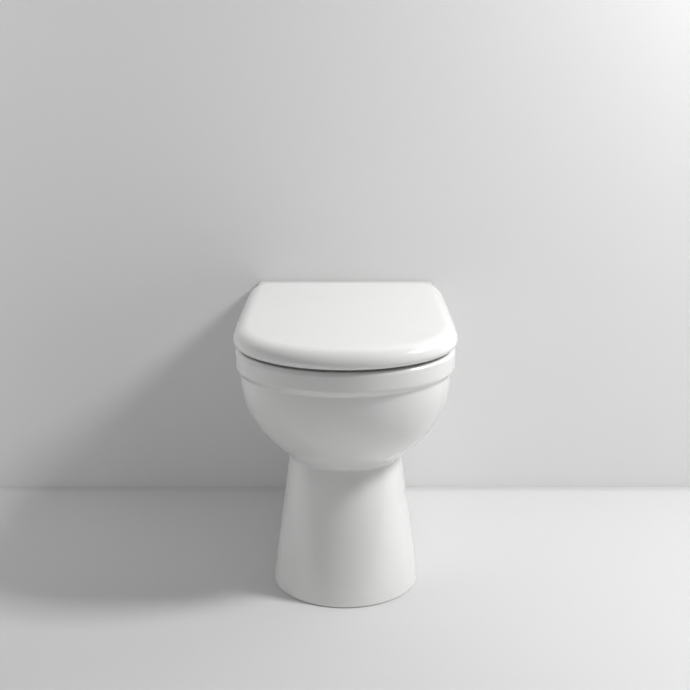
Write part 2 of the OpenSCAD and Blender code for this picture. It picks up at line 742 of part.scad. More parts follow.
// Rounded section of the ring: a superellipse between the hole and the outer edge, with a
// power for its sides, its top and its flatter underside
seat_steps = 16;
side_power = 0.55;
top_power = 0.7;
under_power = 0.45;
function rounded(c, power) = sign(c) * pow(abs(c), power);
seat_rings = [for (k = [0 : seat_steps - 1])
    let (a = -360 * k / seat_steps,
         across = (1 + rounded(cos(a), side_power)) / 2,
         up = rounded(sin(a), sin(a) > 0 ? top_power : under_power))
    ring(mix_outline(seat_hole_outline, seat_outer_outline, across),
         level(seat_middle + up * seat_thickness / 2))];

// Seat buffers, as [side position, from the wall, turn]
buffer_places = [[front_buffer_x, rim_front - front_buffer_inset, 32],
                 [rim_width / 2 - rear_buffer_inset, opening_rear + rear_buffer_ahead, 88]];
// The buffers' pegs, and the room over them in their pockets
peg_diameter = 5;
peg_length = 3;
peg_room = 1;

module buffer_shape(length, width, height) {
    translate([-(length - width) / 2, -width / 2, 0]) cube([length - width, width, height]);
    for (side = [-1, 1])
        translate([side * (length - width) / 2, 0, 0]) cylinder(d = width, h = height);
}

module seat_ring() {
    color("white") difference() {
        union() {
            skin(seat_rings, true);
            both_sides() {
                run_x(knuckle_radius, knuckle_outer_x, knuckle_outer_x + knuckle_width,
                      hinge_from_wall, hinge_height);
                arm(knuckle_outer_x, knuckle_width, seat_set_forward + seat_arm_bite,
                    -knuckle_radius, 0);
            }
            // Longer knuckle that holds the seat's damper
            run_x(knuckle_radius, knuckle_outer_x + knuckle_width - fit,
                  knuckle_outer_x + knuckle_width + damper_room, hinge_from_wall, hinge_height);
            arm(knuckle_outer_x + knuckle_width - fit, damper_room,
                seat_set_forward + seat_arm_bite, -knuckle_radius, 0);
        }
        both_sides()
            run_x(pin_bore, knuckle_outer_x - past, knuckle_outer_x + knuckle_width + past,
                  hinge_from_wall, hinge_height);
        run_x(damper_bore, knuckle_outer_x + knuckle_width,
              knuckle_outer_x + knuckle_width + damper_room + past, hinge_from_wall,
              hinge_height);
        // Pockets that the buffers snap into
        both_sides() for (p = buffer_places)
            translate([p[0], y_of(p[1]), rim_height + seat_gap - past]) rotate([0, 0, p[2]])
                cylinder(d = peg_diameter, h = past + peg_length + peg_room);
    }
}

module seat_buffers() {
    color("whitesmoke") both_sides() for (p = buffer_places)
        translate([p[0], y_of(p[1]), rim_height + lute]) rotate([0, 0, p[2]]) {
            buffer_shape(buffer_length, buffer_width, seat_gap - lute - fit);
            cylinder(d = peg_diameter - 2 * fit, h = seat_gap + peg_length - lute);
        }
}

// ---- Hinges ----------------------------------------------------------------------

// Thickness of the post between a fixing bolt's end and the pin
bolt_cover = 3;

module hinge_post() {
    translate([hinge_x, y_of(hinge_from_wall), rim_height]) difference() {
        union() {
            cylinder(d = post_foot_diameter, h = post_foot_thickness);
            translate([-post_width / 2, -knuckle_radius, 0])
                cube([post_width, 2 * knuckle_radius, hinge_rise]);
            translate([-post_width / 2, 0, hinge_rise]) rotate([0, 90, 0])
                cylinder(r = knuckle_radius, h = post_width);
        }
        translate([-post_width / 2 - past, 0, hinge_rise]) rotate([0, 90, 0])
            cylinder(r = pin_diameter / 2 + fit / 2, h = post_width + 2 * past);
        translate([0, 0, -past])
            cylinder(d = bolt_diameter + 2 * fit,
                     h = past + hinge_rise - pin_diameter / 2 - bolt_cover);
    }
}

module left_hinge_post() { color("white") mirror([1, 0, 0]) hinge_post(); }
module right_hinge_post() { color("white") hinge_post(); }

// The left pin ends in the lid's damper and the right pin in the seat's
damper_grip = 6;
// How far a pin's other end stays inside its outermost knuckle
pin_set_in = 1;

module left_hinge_pin() {
    color("silver") run_x(pin_diameter / 2, -knuckle_outer_x - knuckle_width + pin_set_in,
                          -knuckle_inner_x + damper_grip, hinge_from_wall, hinge_height);
}

module right_hinge_pin() {
    color("silver") run_x(pin_diameter / 2, knuckle_inner_x + pin_set_in,
                          knuckle_outer_x + knuckle_width + damper_grip,
                          hinge_from_wall, hinge_height);
}

module damper(from) {
    difference() {
        run_x(damper_diameter / 2, from, from + damper_length, hinge_from_wall, hinge_height);
        run_x(pin_bore, from - past, from + damper_grip + damper_play, hinge_from_wall,
              hinge_height);
    }
}

module lid_damper() {
    color("dimgray") damper(-knuckle_inner_x + fit);
}

module seat_damper() {
    color("dimgray") damper(knuckle_outer_x + knuckle_width + fit);
}

bush_diameter = 30;
bush_thickness = 6;
// Length of the bush's neck in the shelf's hole, and the width of the cone at its root
bush_neck = 10;
bush_cone = 4;
washer_diameter = 28;
washer_thickness = 2;
nut_diameter = 17;
nut_height = 14;
// The nut's wings: thickness, length, middle from the bolt, and how much lower they are
wing_thickness = 4;
wing_length = 16;
wing_middle = 11;
wing_drop = 2;

module fixing_bolt() {
    translate([hinge_x, y_of(hinge_from_wall), rim_height - bolt_reach])
        cylinder(d = bolt_diameter,
                 h = bolt_reach + hinge_rise - pin_diameter / 2 - bolt_cover - fit);
}

module left_fixing_bolt() { color("silver") mirror([1, 0, 0]) fixing_bolt(); }
module right_fixing_bolt() { color("silver") fixing_bolt(); }

module below_shelf(drop) {
    translate([hinge_x, y_of(hinge_from_wall), shelf_underside - drop]) children();
}

module rubber_bush() {
    below_shelf(bush_thickness + fit) difference() {
        union() {
            cylinder(d = bush_diameter, h = bush_thickness);
            cylinder(d1 = bolt_hole + bush_cone, d2 = bolt_hole - 2 * fit, h = bush_thickness);
            cylinder(d = bolt_hole - 2 * fit, h = bush_thickness + bush_neck);
        }
        translate([0, 0, -past])
            cylinder(d = bolt_diameter + 2 * fit, h = bush_thickness + bush_neck + 2 * past);
    }
}

module left_rubber_bush() { color("dimgray") mirror([1, 0, 0]) rubber_bush(); }
module right_rubber_bush() { color("dimgray") rubber_bush(); }

module fixing_washer() {
    below_shelf(bush_thickness + washer_thickness + 2 * fit) difference() {
        cylinder(d = washer_diameter, h = washer_thickness);
        translate([0, 0, -past])
            cylinder(d = bolt_diameter + 2 * fit, h = washer_thickness + 2 * past);
    }
}

module left_fixing_washer() { color("silver") mirror([1, 0, 0]) fixing_washer(); }
module right_fixing_washer() { color("silver") fixing_washer(); }

module wing_nut() {
    below_shelf(bush_thickness + washer_thickness + nut_height + 3 * fit) difference() {
        union() {
            cylinder(d = nut_diameter, h = nut_height);
            for (side = [-1, 1]) translate([0, side * wing_middle, nut_height / 2])
                cube([wing_thickness, wing_length, nut_height - wing_drop], center = true);
        }
        translate([0, 0, -past])
            cylinder(d = bolt_diameter + 2 * fit, h = nut_height + 2 * past);
    }
}

module left_wing_nut() { color("whitesmoke") mirror([1, 0, 0]) wing_nut(); }
module right_wing_nut() { color("whitesmoke") wing_nut(); }

// ---- Floor fixing ----------------------------------------------------------------

block_width = 34;
block_foot = 9;
upright_thickness = 16;
block_hole_inset = 9;
sleeve_flange = 1.5;
sleeve_bore = side_screw_diameter / 2 + fit;
sleeve_clearance = 0.15;
sleeve_set_in = 2;
block_x = side_inner_x - block_width;

module floor_block() {
    translate([block_x, y_of(side_screw_from_wall), 0]) difference() {
        union() {
            translate([0, -block_length / 2, 0]) cube([block_width, block_length, block_foot]);
            translate([block_width - upright_thickness, -upright_radius, 0])
                cube([upright_thickness, 2 * upright_radius, side_screw_height]);
            translate([block_width - upright_thickness, 0, side_screw_height])
                rotate([0, 90, 0]) cylinder(r = upright_radius, h = upright_thickness);
        }
        translate([-past, 0, side_screw_height]) rotate([0, 90, 0])
            cylinder(r = sleeve_bore, h = block_width + 2 * past);
        for (side = [-1, 1])
            translate([block_hole_inset, side * (block_length / 2 - block_hole_inset), -past])
                cylinder(d = floor_screw_hole, h = block_foot + 2 * past);
    }
}

module left_floor_block() { color("whitesmoke") mirror([1, 0, 0]) floor_block(); }
module right_floor_block() { color("whitesmoke") floor_block(); }

module screw_sleeve() {
    difference() {
        union() {
            run_x(side_hole / 2 - sleeve_clearance, side_inner_x + sleeve_set_in,
                  side_seat_x + sleeve_flange,
                  side_screw_from_wall, side_screw_height);
            run_x(cap_diameter / 2, side_seat_x, side_seat_x + sleeve_flange,
                  side_screw_from_wall, side_screw_height);
        }
        run_x(sleeve_bore, side_inner_x, side_seat_x + sleeve_flange + past,
              side_screw_from_wall, side_screw_height);
    }
}

module left_screw_sleeve() { color("white") mirror([1, 0, 0]) screw_sleeve(); }
module right_screw_sleeve() { color("white") screw_sleeve(); }

screw_head = 2;
// How far the screw's end stays inside its block, and the room round its head
screw_set_in = 10;
head_room = 0.2;
// Height of the cap's straight edge, and the steps of its dome
cap_edge = 1;
cap_steps = 8;

module side_screw() {
    run_x(side_screw_diameter / 2, block_x + screw_set_in,
          side_seat_x + sleeve_flange + fit + screw_head,
          side_screw_from_wall, side_screw_height);
    run_x(side_screw_diameter, side_seat_x + sleeve_flange + fit,
          side_seat_x + sleeve_flange + fit + screw_head,
          side_screw_from_wall, side_screw_height);
}

module left_side_screw() { color("silver") mirror([1, 0, 0]) side_screw(); }
module right_side_screw() { color("silver") side_screw(); }

// A domed cap over the screw's head
module screw_cap() {
    r = cap_diameter / 2;
    dome = cap_height - sleeve_flange;
    rise = dome - cap_edge;
    sphere_r = (r * r + rise * rise) / (2 * rise);
    translate([side_seat_x + sleeve_flange, y_of(side_screw_from_wall), side_screw_height])
        rotate([0, 90, 0]) difference() {
            rotate_extrude() polygon(concat(
                [[0, 0], [r, 0], [r, cap_edge]],
                [for (k = [1 : cap_steps - 1]) let (x = r * (1 - k / cap_steps))
                    [x, dome + sqrt(sphere_r * sphere_r - x * x) - sphere_r]],
                [[0, dome]]));
            translate([0, 0, -past]) cylinder(r = side_screw_diameter + head_room,
                                              h = past + fit + screw_head + head_room / 2);
        }
}

module left_screw_cap() { color("silver") mirror([1, 0, 0]) screw_cap(); }
module right_screw_cap() { color("silver") screw_cap(); }

rim();
bowl();
pedestal();
trapway();
flush_inlet_socket();
seat_ring();
seat_buffers();
lid();
lid_buffers();
left_hinge_post();
right_hinge_post();
left_hinge_pin();
right_hinge_pin();
lid_damper();
seat_damper();
left_fixing_bolt();
right_fixing_bolt();
left_rubber_bush();
right_rubber_bush();
left_fixing_washer();
right_fixing_washer();
left_wing_nut();
right_wing_nut();
left_floor_block();
right_floor_block();
left_screw_sleeve();
right_screw_sleeve();
left_side_screw();
right_side_screw();
left_screw_cap();
right_screw_cap();
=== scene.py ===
"""The looks of a back to wall toilet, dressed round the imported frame.

The china, the lid and the seat are closed surfaces worked out ring by ring from plan
outlines. Smaller pieces are copies of the frame's solids with their edges rounded. All
outlines are in millimetres, and "from the wall" is a distance that runs to the front.
"""

import json
import logging
import math
from dataclasses import dataclass, field
from enum import Enum
from typing import Sequence

import bmesh
import bpy
import numpy as np
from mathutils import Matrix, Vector


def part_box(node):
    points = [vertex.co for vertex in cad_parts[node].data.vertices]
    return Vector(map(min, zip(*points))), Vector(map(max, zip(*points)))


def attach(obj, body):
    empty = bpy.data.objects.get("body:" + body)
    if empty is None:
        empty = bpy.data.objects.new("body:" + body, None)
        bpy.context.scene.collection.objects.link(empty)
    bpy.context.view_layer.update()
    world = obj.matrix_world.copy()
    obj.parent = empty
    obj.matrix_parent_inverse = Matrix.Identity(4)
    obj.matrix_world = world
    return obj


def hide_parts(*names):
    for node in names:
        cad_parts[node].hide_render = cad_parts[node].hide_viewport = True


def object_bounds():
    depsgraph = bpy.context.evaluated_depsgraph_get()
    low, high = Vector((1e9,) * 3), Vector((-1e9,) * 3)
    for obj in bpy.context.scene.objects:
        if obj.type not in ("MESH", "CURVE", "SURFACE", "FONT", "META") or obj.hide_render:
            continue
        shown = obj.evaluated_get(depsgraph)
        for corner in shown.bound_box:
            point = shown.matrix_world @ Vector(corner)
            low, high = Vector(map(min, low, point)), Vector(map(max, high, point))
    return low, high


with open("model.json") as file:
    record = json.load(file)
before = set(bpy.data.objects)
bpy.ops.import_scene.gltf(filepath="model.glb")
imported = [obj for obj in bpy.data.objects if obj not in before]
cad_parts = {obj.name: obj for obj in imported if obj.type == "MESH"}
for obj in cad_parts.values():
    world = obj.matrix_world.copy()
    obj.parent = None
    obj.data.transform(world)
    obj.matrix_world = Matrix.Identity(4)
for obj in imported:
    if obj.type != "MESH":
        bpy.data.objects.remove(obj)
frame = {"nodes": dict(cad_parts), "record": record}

LOG = logging.getLogger("toilet")
MM = 0.001
CAD_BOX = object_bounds()

WALL_Y = CAD_BOX[1].y / MM
"""The wall's place on Y, in millimetres. The pan's flat back stands on it."""

RIM_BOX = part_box("rim")
"""The rim's low and high corners, in metres."""


# ---- Outlines and skins ----


def mix(a: float, b: float, share: float) -> float:
    """Returns the value that lies a share of the way from a to b."""
    return a + (b - a) * share


def smooth(share: float) -> float:
    """Returns a share eased at both ends, 3s^2 - 2s^3, held between 0 and 1."""
    s = min(1.0, max(0.0, share))
    return s * s * (3 - 2 * s)


@dataclass(frozen=True)
class Outline:
    """A plan outline: straight at the rear, gently spreading sides and a rounded front.

    The widths are halves. rear, front and widest are distances from the wall.
    """

    half: float
    rear_half: float
    rear: float
    front: float
    widest: float
    corner: float

    def inset(self, by: float, rear_by: float) -> "Outline":
        """Returns the outline drawn in by one distance, and by another at the rear."""
        return Outline(self.half - by, self.rear_half - by, self.rear + rear_by,
                       self.front - by, self.widest, max(2.0, self.corner - by))

    def mixed(self, other: "Outline", share: float) -> "Outline":
        """Returns the outline a share of the way from this one to another."""
        return Outline(*(mix(a, b, share) for a, b in zip(self.sizes(), other.sizes())))

    def shrunk(self, share: float) -> "Outline":
        """Returns the outline shrunk to a share of itself about its middle."""
        middle = (self.rear + self.front) / 2
        places = [mix(middle, v, share) for v in (self.rear, self.front, self.widest)]
        return Outline(self.half * share, self.rear_half * share, *places,
                       self.corner * share)

    def sizes(self) -> tuple[float, ...]:
        """Returns the six sizes in order."""
        return (self.half, self.rear_half, self.rear, self.front, self.widest, self.corner)

    def side(self, from_wall: np.ndarray) -> np.ndarray:
        """Works out the half width behind the widest place.

        The width falls from the widest place to the rear along a hyperbola, which starts
        level and soon runs straight: (sqrt(q^2 + e^2) - e) over its value at the rear,
        where q is the distance behind the widest place and e is the ease.

        Args:
            from_wall: Distances from the wall.

        Returns:
            The half width at each distance.
        """
        q = np.maximum(0.0, self.widest - from_wall)
        run = self.widest - self.rear
        fall = (np.sqrt(q**2 + SIDE_EASE**2) - SIDE_EASE) / (
            math.hypot(run, SIDE_EASE) - SIDE_EASE)
        return self.half - (self.half - self.rear_half) * fall


SIDE_EASE = 60.0
"""How softly an outline's sides leave its widest place."""


@dataclass(frozen=True)
class Steps:
    """How finely one half of an outline is cut."""

    rear: int = 8
    corner: int = 9
    side: int = 22
    front: int = 46


Heights = tuple[float, float, float]


def level(height: float) -> Heights:
    """Returns one height for the rear, the sides and the front."""
    return (height, height, height)


def ring(outline: Outline, heights: Heights, full: float = 2.0,
         steps: Steps = Steps()) -> np.ndarray:
    """Works out one closed ring of points round an outline.

    The rear is a line, each rear corner a quarter circle, each side the outline's own
    curve, and the front a superellipse: x = half * cos(a)^(2/full) and
    y = reach * sin(a)^(2/full). The height eases from the rear's to the side's along the
    side, and from the side's to the front's with sin(a)^2.

    Args:
        outline: The plan outline.
        heights: The heights at the rear, the sides and the front.
        full: How full the front is. 2 is an ellipse, and more is squarer.
        steps: How finely to cut it.

    Returns:
        An array of points, from the rear's middle round by +X.
    """
    rear_z, side_z, front_z = heights
    corner_y = outline.rear + outline.corner
    corner_x = float(outline.side(np.array([corner_y]))[0]) - outline.corner
    u = np.arange(steps.rear) / steps.rear
    rear = np.stack([corner_x * u, np.full_like(u, outline.rear), np.full_like(u, rear_z)], 1)
    a = np.linspace(0, math.pi / 2, steps.corner + 1)
    corner = np.stack([corner_x + outline.corner * np.sin(a),
                       corner_y - outline.corner * np.cos(a), np.full_like(a, rear_z)], 1)
    d = np.linspace(corner_y, outline.widest, steps.side + 1)[1:-1]
    t = (d - corner_y) / (outline.widest - corner_y)
    side = np.stack([outline.side(d), d, mix(rear_z, side_z, t * t * (3 - 2 * t))], 1)
    a = np.linspace(0, math.pi / 2, steps.front + 1)
    reach = outline.front - outline.widest
    front = np.stack([outline.half * np.cos(a).clip(0) ** (2 / full),
                      outline.widest + reach * np.sin(a) ** (2 / full),
                      mix(side_z, front_z, np.sin(a) ** 2)], 1)
    front[-1, 0] = 0.0
    right = np.concatenate([rear, corner, side, front])
    left = right[-2:0:-1] * np.array([-1.0, 1.0, 1.0])
    points = np.concatenate([right, left])
    points[:, 1] = WALL_Y - points[:, 1]
    return points


def rounded_crease(above: np.ndarray, crease: np.ndarray, below: np.ndarray,
                   count: int) -> list[np.ndarray]:
    """Rounds a crease between two rings with a quadratic curve that the crease pulls.

    Args:
        above: The ring where the rounding starts.
        crease: The sharp crease itself.
        below: The ring where the rounding ends.
        count: How many rings to make, both ends left out.

    Returns:
        The rings from above to below.
    """
    t = np.linspace(0, 1, count + 2)[1:-1]
    return [(1 - s) ** 2 * above + 2 * s * (1 - s) * crease + s * s * below for s in t]


def linked(name: str, data: bpy.types.ID) -> bpy.types.Object:
    """Makes an object for its data and puts it in the scene."""
    obj = bpy.data.objects.new(name, data)
    bpy.context.scene.collection.objects.link(obj)
    return obj


def new_object(name: str, verts: np.ndarray, faces: Sequence[Sequence[int]]) -> bpy.types.Object:
    """Makes an object from points in millimetres, with its faces turned outwards.

    Args:
        name: The object's name.
        verts: Its points.
        faces: Its faces, as lists of point numbers.

    Returns:
        The object, at the origin, with its place in its mesh.
    """
    mesh = bpy.data.meshes.new(name)
    mesh.from_pydata((verts * MM).tolist(), [], faces)
    obj = linked(name, mesh)
    bm = bmesh.new()
    bm.from_mesh(mesh)
    bmesh.ops.remove_doubles(bm, verts=bm.verts, dist=1e-7)
    bmesh.ops.recalc_face_normals(bm, faces=bm.faces)
    bm.to_mesh(mesh)
    bm.free()
    return obj


def skin(name: str, rings: Sequence[np.ndarray], looped: bool = False) -> bpy.types.Object:
    """Closes a list of rings into one surface.

    Point j of ring k is joined to its neighbours on the grid (j, k). The grid closes round
    each ring. It also closes on itself, or ends in a point at the middle of its two ends.

    Args:
        name: The object's name.
        rings: The rings, each with the same number of points.
        looped: Whether the last ring is joined to the first.

    Returns:
        The closed object.
    """
    grid = np.stack(rings)
    m, n = grid.shape[:2]
    rows = np.arange(m if looped else m - 1)[:, None]
    j = np.arange(n)[None, :]
    below, beside = (rows + 1) % m, (j + 1) % n
    quads = np.stack([rows * n + j, rows * n + beside, below * n + beside, below * n + j], -1)
    faces = quads.reshape(-1, 4).tolist()
    verts = grid.reshape(-1, 3)
    if not looped:
        verts = np.concatenate([verts, grid[0].mean(0)[None], grid[-1].mean(0)[None]])
        j = j.ravel()
        ends = [np.stack([np.full(n, m * n), (j + 1) % n, j], 1),
                np.stack([np.full(n, m * n + 1), (m - 1) * n + j, (m - 1) * n + (j + 1) % n], 1)]
        faces += np.concatenate(ends).tolist()
    return new_object(name, verts, faces)


def rod(radius: float, start: Vector, end: Vector, sides: int = 64) -> bpy.types.Object:
    """Makes a plain cylinder between two points, used only to cut or to join."""
    axis = (end - start).normalized()
    across = axis.orthogonal().normalized()
    other = axis.cross(across)
    a = np.linspace(0, 2 * math.pi, sides, endpoint=False)
    circle = radius * (np.cos(a)[:, None] * np.array(across)
                       + np.sin(a)[:, None] * np.array(other))
    verts = np.concatenate([circle + np.array(start), circle + np.array(end)])
    j = np.arange(sides)
    walls = np.stack([j, (j + 1) % sides, (j + 1) % sides + sides, j + sides], 1).tolist()
    return new_object("tool", verts, walls + [j.tolist(), (j + sides).tolist()])


def prism(section: Sequence[tuple[float, float]], low: float, high: float,
          sideways: bool = False) -> bpy.types.Object:
    """Makes a straight prism from a section, used only to cut or to join.

    Args:
        section: The section's corners, as side position and height, or as distance from the
            wall and height if it runs sideways.
        low: Where the prism starts, from the wall or on X.
        high: Where it ends.
        sideways: Whether it runs along X and not from the wall to the front.

    Returns:
        The prism.
    """
    n = len(section)
    verts = np.array([at(w, u, v) if sideways else at(u, w, v)
                      for w in (low, high) for u, v in section])
    walls = [[j, (j + 1) % n, (j + 1) % n + n, j + n] for j in range(n)]
    return new_object("tool", verts, walls + [list(range(n)), list(range(n, 2 * n))])


def combine(obj: bpy.types.Object, tools: Sequence[bpy.types.Object], operation: str) -> None:
    """Joins tools to an object or cuts them from it, one after another, and removes them.

    Args:
        obj: The object that is kept.
        tools: The closed objects to apply.
        operation: UNION or DIFFERENCE.
    """
    for tool in tools:
        modifier = obj.modifiers.new("combine", "BOOLEAN")
        modifier.operation, modifier.solver, modifier.object = operation, "EXACT", tool
        settle(obj)
        bpy.data.objects.remove(tool)


def settle(obj: bpy.types.Object) -> None:
    """Writes an object's live modifiers into its mesh."""
    graph = bpy.context.evaluated_depsgraph_get()
    graph.update()
    mesh = bpy.data.meshes.new_from_object(obj.evaluated_get(graph))
    obj.modifiers.clear()
    obj.data = mesh


def shade(obj: bpy.types.Object, sharp: float = 32.0, flat: bool = False) -> None:
    """Shades an object smooth, apart from its sharp edges.

    Args:
        obj: The object.
        sharp: The angle in degrees from which an edge is sharp.
        flat: Whether normals are weighted by the faces' areas, to make flat faces look flat.
    """
    obj.data.polygons.foreach_set("use_smooth", np.ones(len(obj.data.polygons), bool))
    obj.data.set_sharp_from_angle(angle=math.radians(sharp))
    if flat:
        weighted = obj.modifiers.new("normals", "WEIGHTED_NORMAL")
        weighted.keep_sharp = True
        settle(obj)


def at(x: float, from_wall: float, height: float) -> Vector:
    """Returns the point at a side position, a distance from the wall and a height."""
    return Vector((x, WALL_Y - from_wall, height))


# ---- Finishes ----


Value = float | tuple[float, ...] | bpy.types.NodeSocket
"""What a node's input can be given."""


@dataclass(frozen=True)
class Socket:
    """One socket of a node group."""

    name: str
    kind: str
    value: float | None = None


def new_group(name: str, inputs: Sequence[Socket],
              outputs: Sequence[Socket]) -> bpy.types.NodeTree:
    """Makes an empty shader node group with named sockets."""
    tree = bpy.data.node_groups.new(name, "ShaderNodeTree")
    for sockets, way in ((inputs, "INPUT"), (outputs, "OUTPUT")):
        for s in sockets:
            made = tree.interface.new_socket(s.name, in_out=way, socket_type=s.kind)
            if s.value is not None:
                made.default_value = s.value
    tree.nodes.new("NodeGroupInput").name = "in"
    tree.nodes.new("NodeGroupOutput").name = "out"
    return tree


def fill(node: bpy.types.Node, values: dict[str | int, Value]) -> bpy.types.Node:
    """Gives a node's inputs plain values, or links sockets to them, and returns the node."""
    for key, value in values.items():
        if isinstance(value, bpy.types.NodeSocket):
            node.id_data.links.new(value, node.inputs[key])
        else:
            node.inputs[key].default_value = value
    return node


def noise(tree: bpy.types.NodeTree, coords: bpy.types.NodeSocket, scale: float,
          detail: float = 3.0,
          stretch: tuple[float, float, float] = (1, 1, 1)) -> bpy.types.NodeSocket:
    """Adds a noise texture on given coordinates and returns its value socket."""
    mapping = fill(tree.nodes.new("ShaderNodeMapping"), {"Scale": stretch, "Vector": coords})
    node = fill(tree.nodes.new("ShaderNodeTexNoise"),
                {"Scale": scale, "Detail": detail, "Vector": mapping.outputs["Vector"]})
    return node.outputs["Fac"]


def compute(tree: bpy.types.NodeTree, operation: str, *values: Value) -> bpy.types.NodeSocket:
    """Adds a math node on numbers or sockets and returns its value socket."""
    node = tree.nodes.new("ShaderNodeMath")
    node.operation = operation
    return fill(node, dict(enumerate(values))).outputs["Value"]


def ranged(tree: bpy.types.NodeTree, value: bpy.types.NodeSocket, low: Value, high: Value,
           source: tuple[float, float] = (0.3, 0.7)) -> bpy.types.NodeSocket:
    """Adds a map range from a source span to low and high, which are numbers or sockets."""
    node = fill(tree.nodes.new("ShaderNodeMapRange"),
                {"From Min": source[0], "From Max": source[1], "Value": value,
                 "To Min": low, "To Max": high})
    return node.outputs["Result"]


class Effects:
    """The node groups that several finishes share, each built once."""

    FINE_SHARE = 0.35

    def __init__(self) -> None:
        """Builds the groups."""
        self.gloss = self._surface("fired_or_moulded_gloss", broad=9.0, fine=420.0)
        self.grain = self._surface("moulded_grain", broad=60.0, fine=1900.0)
        self.brushed = self._surface("drawn_metal", broad=40.0, fine=900.0,
                                     stretch=(0.06, 1.0, 1.0))

    def _surface(self, name: str, broad: float, fine: float,
                 stretch: tuple[float, float, float] = (1, 1, 1)) -> bpy.types.NodeTree:
        """Builds a group that varies a colour, a roughness and a height.

        A broad noise tints the colour and moves the roughness, and a fine noise is added to
        it for the height.

        Args:
            name: The group's name.
            broad: The broad noise's scale, per metre.
            fine: The fine noise's scale, per metre.
            stretch: How the fine noise is drawn out along each axis.

        Returns:
            The group.
        """
        colour = "NodeSocketColor"
        number = "NodeSocketFloat"
        tree = new_group(
            name,
            [Socket("Light", colour), Socket("Dark", colour),
             Socket("Smoothest", number, 0.05), Socket("Roughest", number, 0.12)],
            [Socket("Colour", colour), Socket("Roughness", number), Socket("Height", number)])
        given = tree.nodes["in"].outputs
        coords = tree.nodes.new("ShaderNodeTexCoord").outputs["Object"]
        slow = noise(tree, coords, broad)
        quick = noise(tree, coords, fine, 2.0, stretch)
        tint = tree.nodes.new("ShaderNodeMix")
        tint.data_type = "RGBA"
        fill(tint, {"Factor": ranged(tree, slow, 0.0, 1.0),
                    "A": given["Dark"], "B": given["Light"]})
        fill(tree.nodes["out"], {
            "Colour": tint.outputs["Result"],
            "Roughness": ranged(tree, slow, given["Smoothest"], given["Roughest"]),
            "Height": compute(tree, "MULTIPLY_ADD", quick, self.FINE_SHARE, slow)})
        return tree


class Texture(Enum):
    """Which shared effect a finish is built on."""

    GLOSS = "gloss"
    GRAIN = "grain"
    BRUSHED = "brushed"


@dataclass(frozen=True)
class Finish:
    """One surface finish: two nearby colours, a roughness span and a relief."""

    slot: str
    texture: Texture
    light: tuple[float, float, float]
    dark: tuple[float, float, float]
    smoothest: float
    roughest: float
    relief: float
    metallic: float = 0.0
    coat: float = 0.0
    coat_roughness: float = 0.03
    ior: float = 1.5
    subsurface: float = 0.0
    subsurface_depth: float = 2.0

    def build(self, effects: Effects) -> bpy.types.Material:
        """Builds the material.

        Args:
            effects: The shared node groups.

        Returns:
            The material.
        """
        material = bpy.data.materials.new(self.slot)
        material.use_nodes = True
        tree = material.node_tree
        group = tree.nodes.new("ShaderNodeGroup")
        group.node_tree = getattr(effects, self.texture.value)
        made = fill(group, {"Light": (*self.light, 1.0), "Dark": (*self.dark, 1.0),
                            "Smoothest": self.smoothest, "Roughest": self.roughest}).outputs
        bump = fill(tree.nodes.new("ShaderNodeBump"), {
            "Strength": 1.0, "Distance": self.relief * MM, "Height": made["Height"]})
        fill(tree.nodes["Principled BSDF"], {
            "Base Color": made["Colour"], "Roughness": made["Roughness"],
            "Normal": bump.outputs["Normal"], "Metallic": self.metallic, "IOR": self.ior,
            "Coat Weight": self.coat, "Coat Roughness": self.coat_roughness,
            "Subsurface Weight": self.subsurface,
            "Subsurface Scale": self.subsurface_depth * MM})
        return material


FINISHES = (
    Finish("glazed_china", Texture.GLOSS, (0.80, 0.80, 0.795),
           (0.78, 0.78, 0.77), 0.10, 0.16, 0.05, coat=0.6, coat_roughness=0.05, ior=1.52),
    Finish("seat_gloss", Texture.GLOSS, (0.84, 0.84, 0.835),
           (0.83, 0.83, 0.82), 0.12, 0.17, 0.03, coat=0.3, coat_roughness=0.05),
    Finish("hinge_gloss", Texture.GLOSS, (0.82, 0.82, 0.815),
           (0.80, 0.80, 0.79), 0.22, 0.30, 0.04),
    Finish("buffer_rubber", Texture.GRAIN, (0.72, 0.72, 0.70),
           (0.66, 0.66, 0.63), 0.50, 0.62, 0.10, subsurface=0.1),
    Finish("damper_plastic", Texture.GRAIN, (0.055, 0.055, 0.06),
           (0.04, 0.04, 0.045), 0.42, 0.55, 0.12),
    Finish("bright_steel", Texture.BRUSHED, (0.66, 0.66, 0.67),
           (0.56, 0.56, 0.57), 0.24, 0.36, 0.03, metallic=1.0),
    Finish("black_rubber", Texture.GRAIN, (0.035, 0.035, 0.035),
           (0.02, 0.02, 0.02), 0.60, 0.75, 0.15),
    Finish("natural_nylon", Texture.GRAIN, (0.74, 0.72, 0.66),
           (0.68, 0.66, 0.60), 0.40, 0.52, 0.10, subsurface=0.15),
    Finish("white_plastic", Texture.GRAIN, (0.80, 0.80, 0.79),
           (0.77, 0.77, 0.76), 0.32, 0.42, 0.08),
    Finish("cap_chrome", Texture.BRUSHED, (0.62, 0.62, 0.63),
           (0.55, 0.55, 0.56), 0.08, 0.14, 0.01, metallic=1.0),
)


class Wardrobe:
    """Holds the built materials and dresses pieces from the record's slots."""

    def __init__(self) -> None:
        """Builds every finish once."""
        effects = Effects()
        self.materials = {f.slot: f.build(effects) for f in FINISHES}
        self.slots = {s["node"]: s["material_slot"] for s in frame["record"]["subparts"]}

    def dress(self, obj: bpy.types.Object, slot: str) -> None:
        """Gives an object one material and names its slot."""
        obj.data.materials.clear()
        obj.data.materials.append(self.materials[slot])

    def place(self, obj: bpy.types.Object, body: str, *nodes: str) -> None:
        """Dresses a piece as the first node that it stands for, and puts it on a body."""
        self.dress(obj, self.slots[nodes[0]])
        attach(obj, body)
        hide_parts(*nodes)
        LOG.info("%s stands for %s", obj.name, ", ".join(nodes))


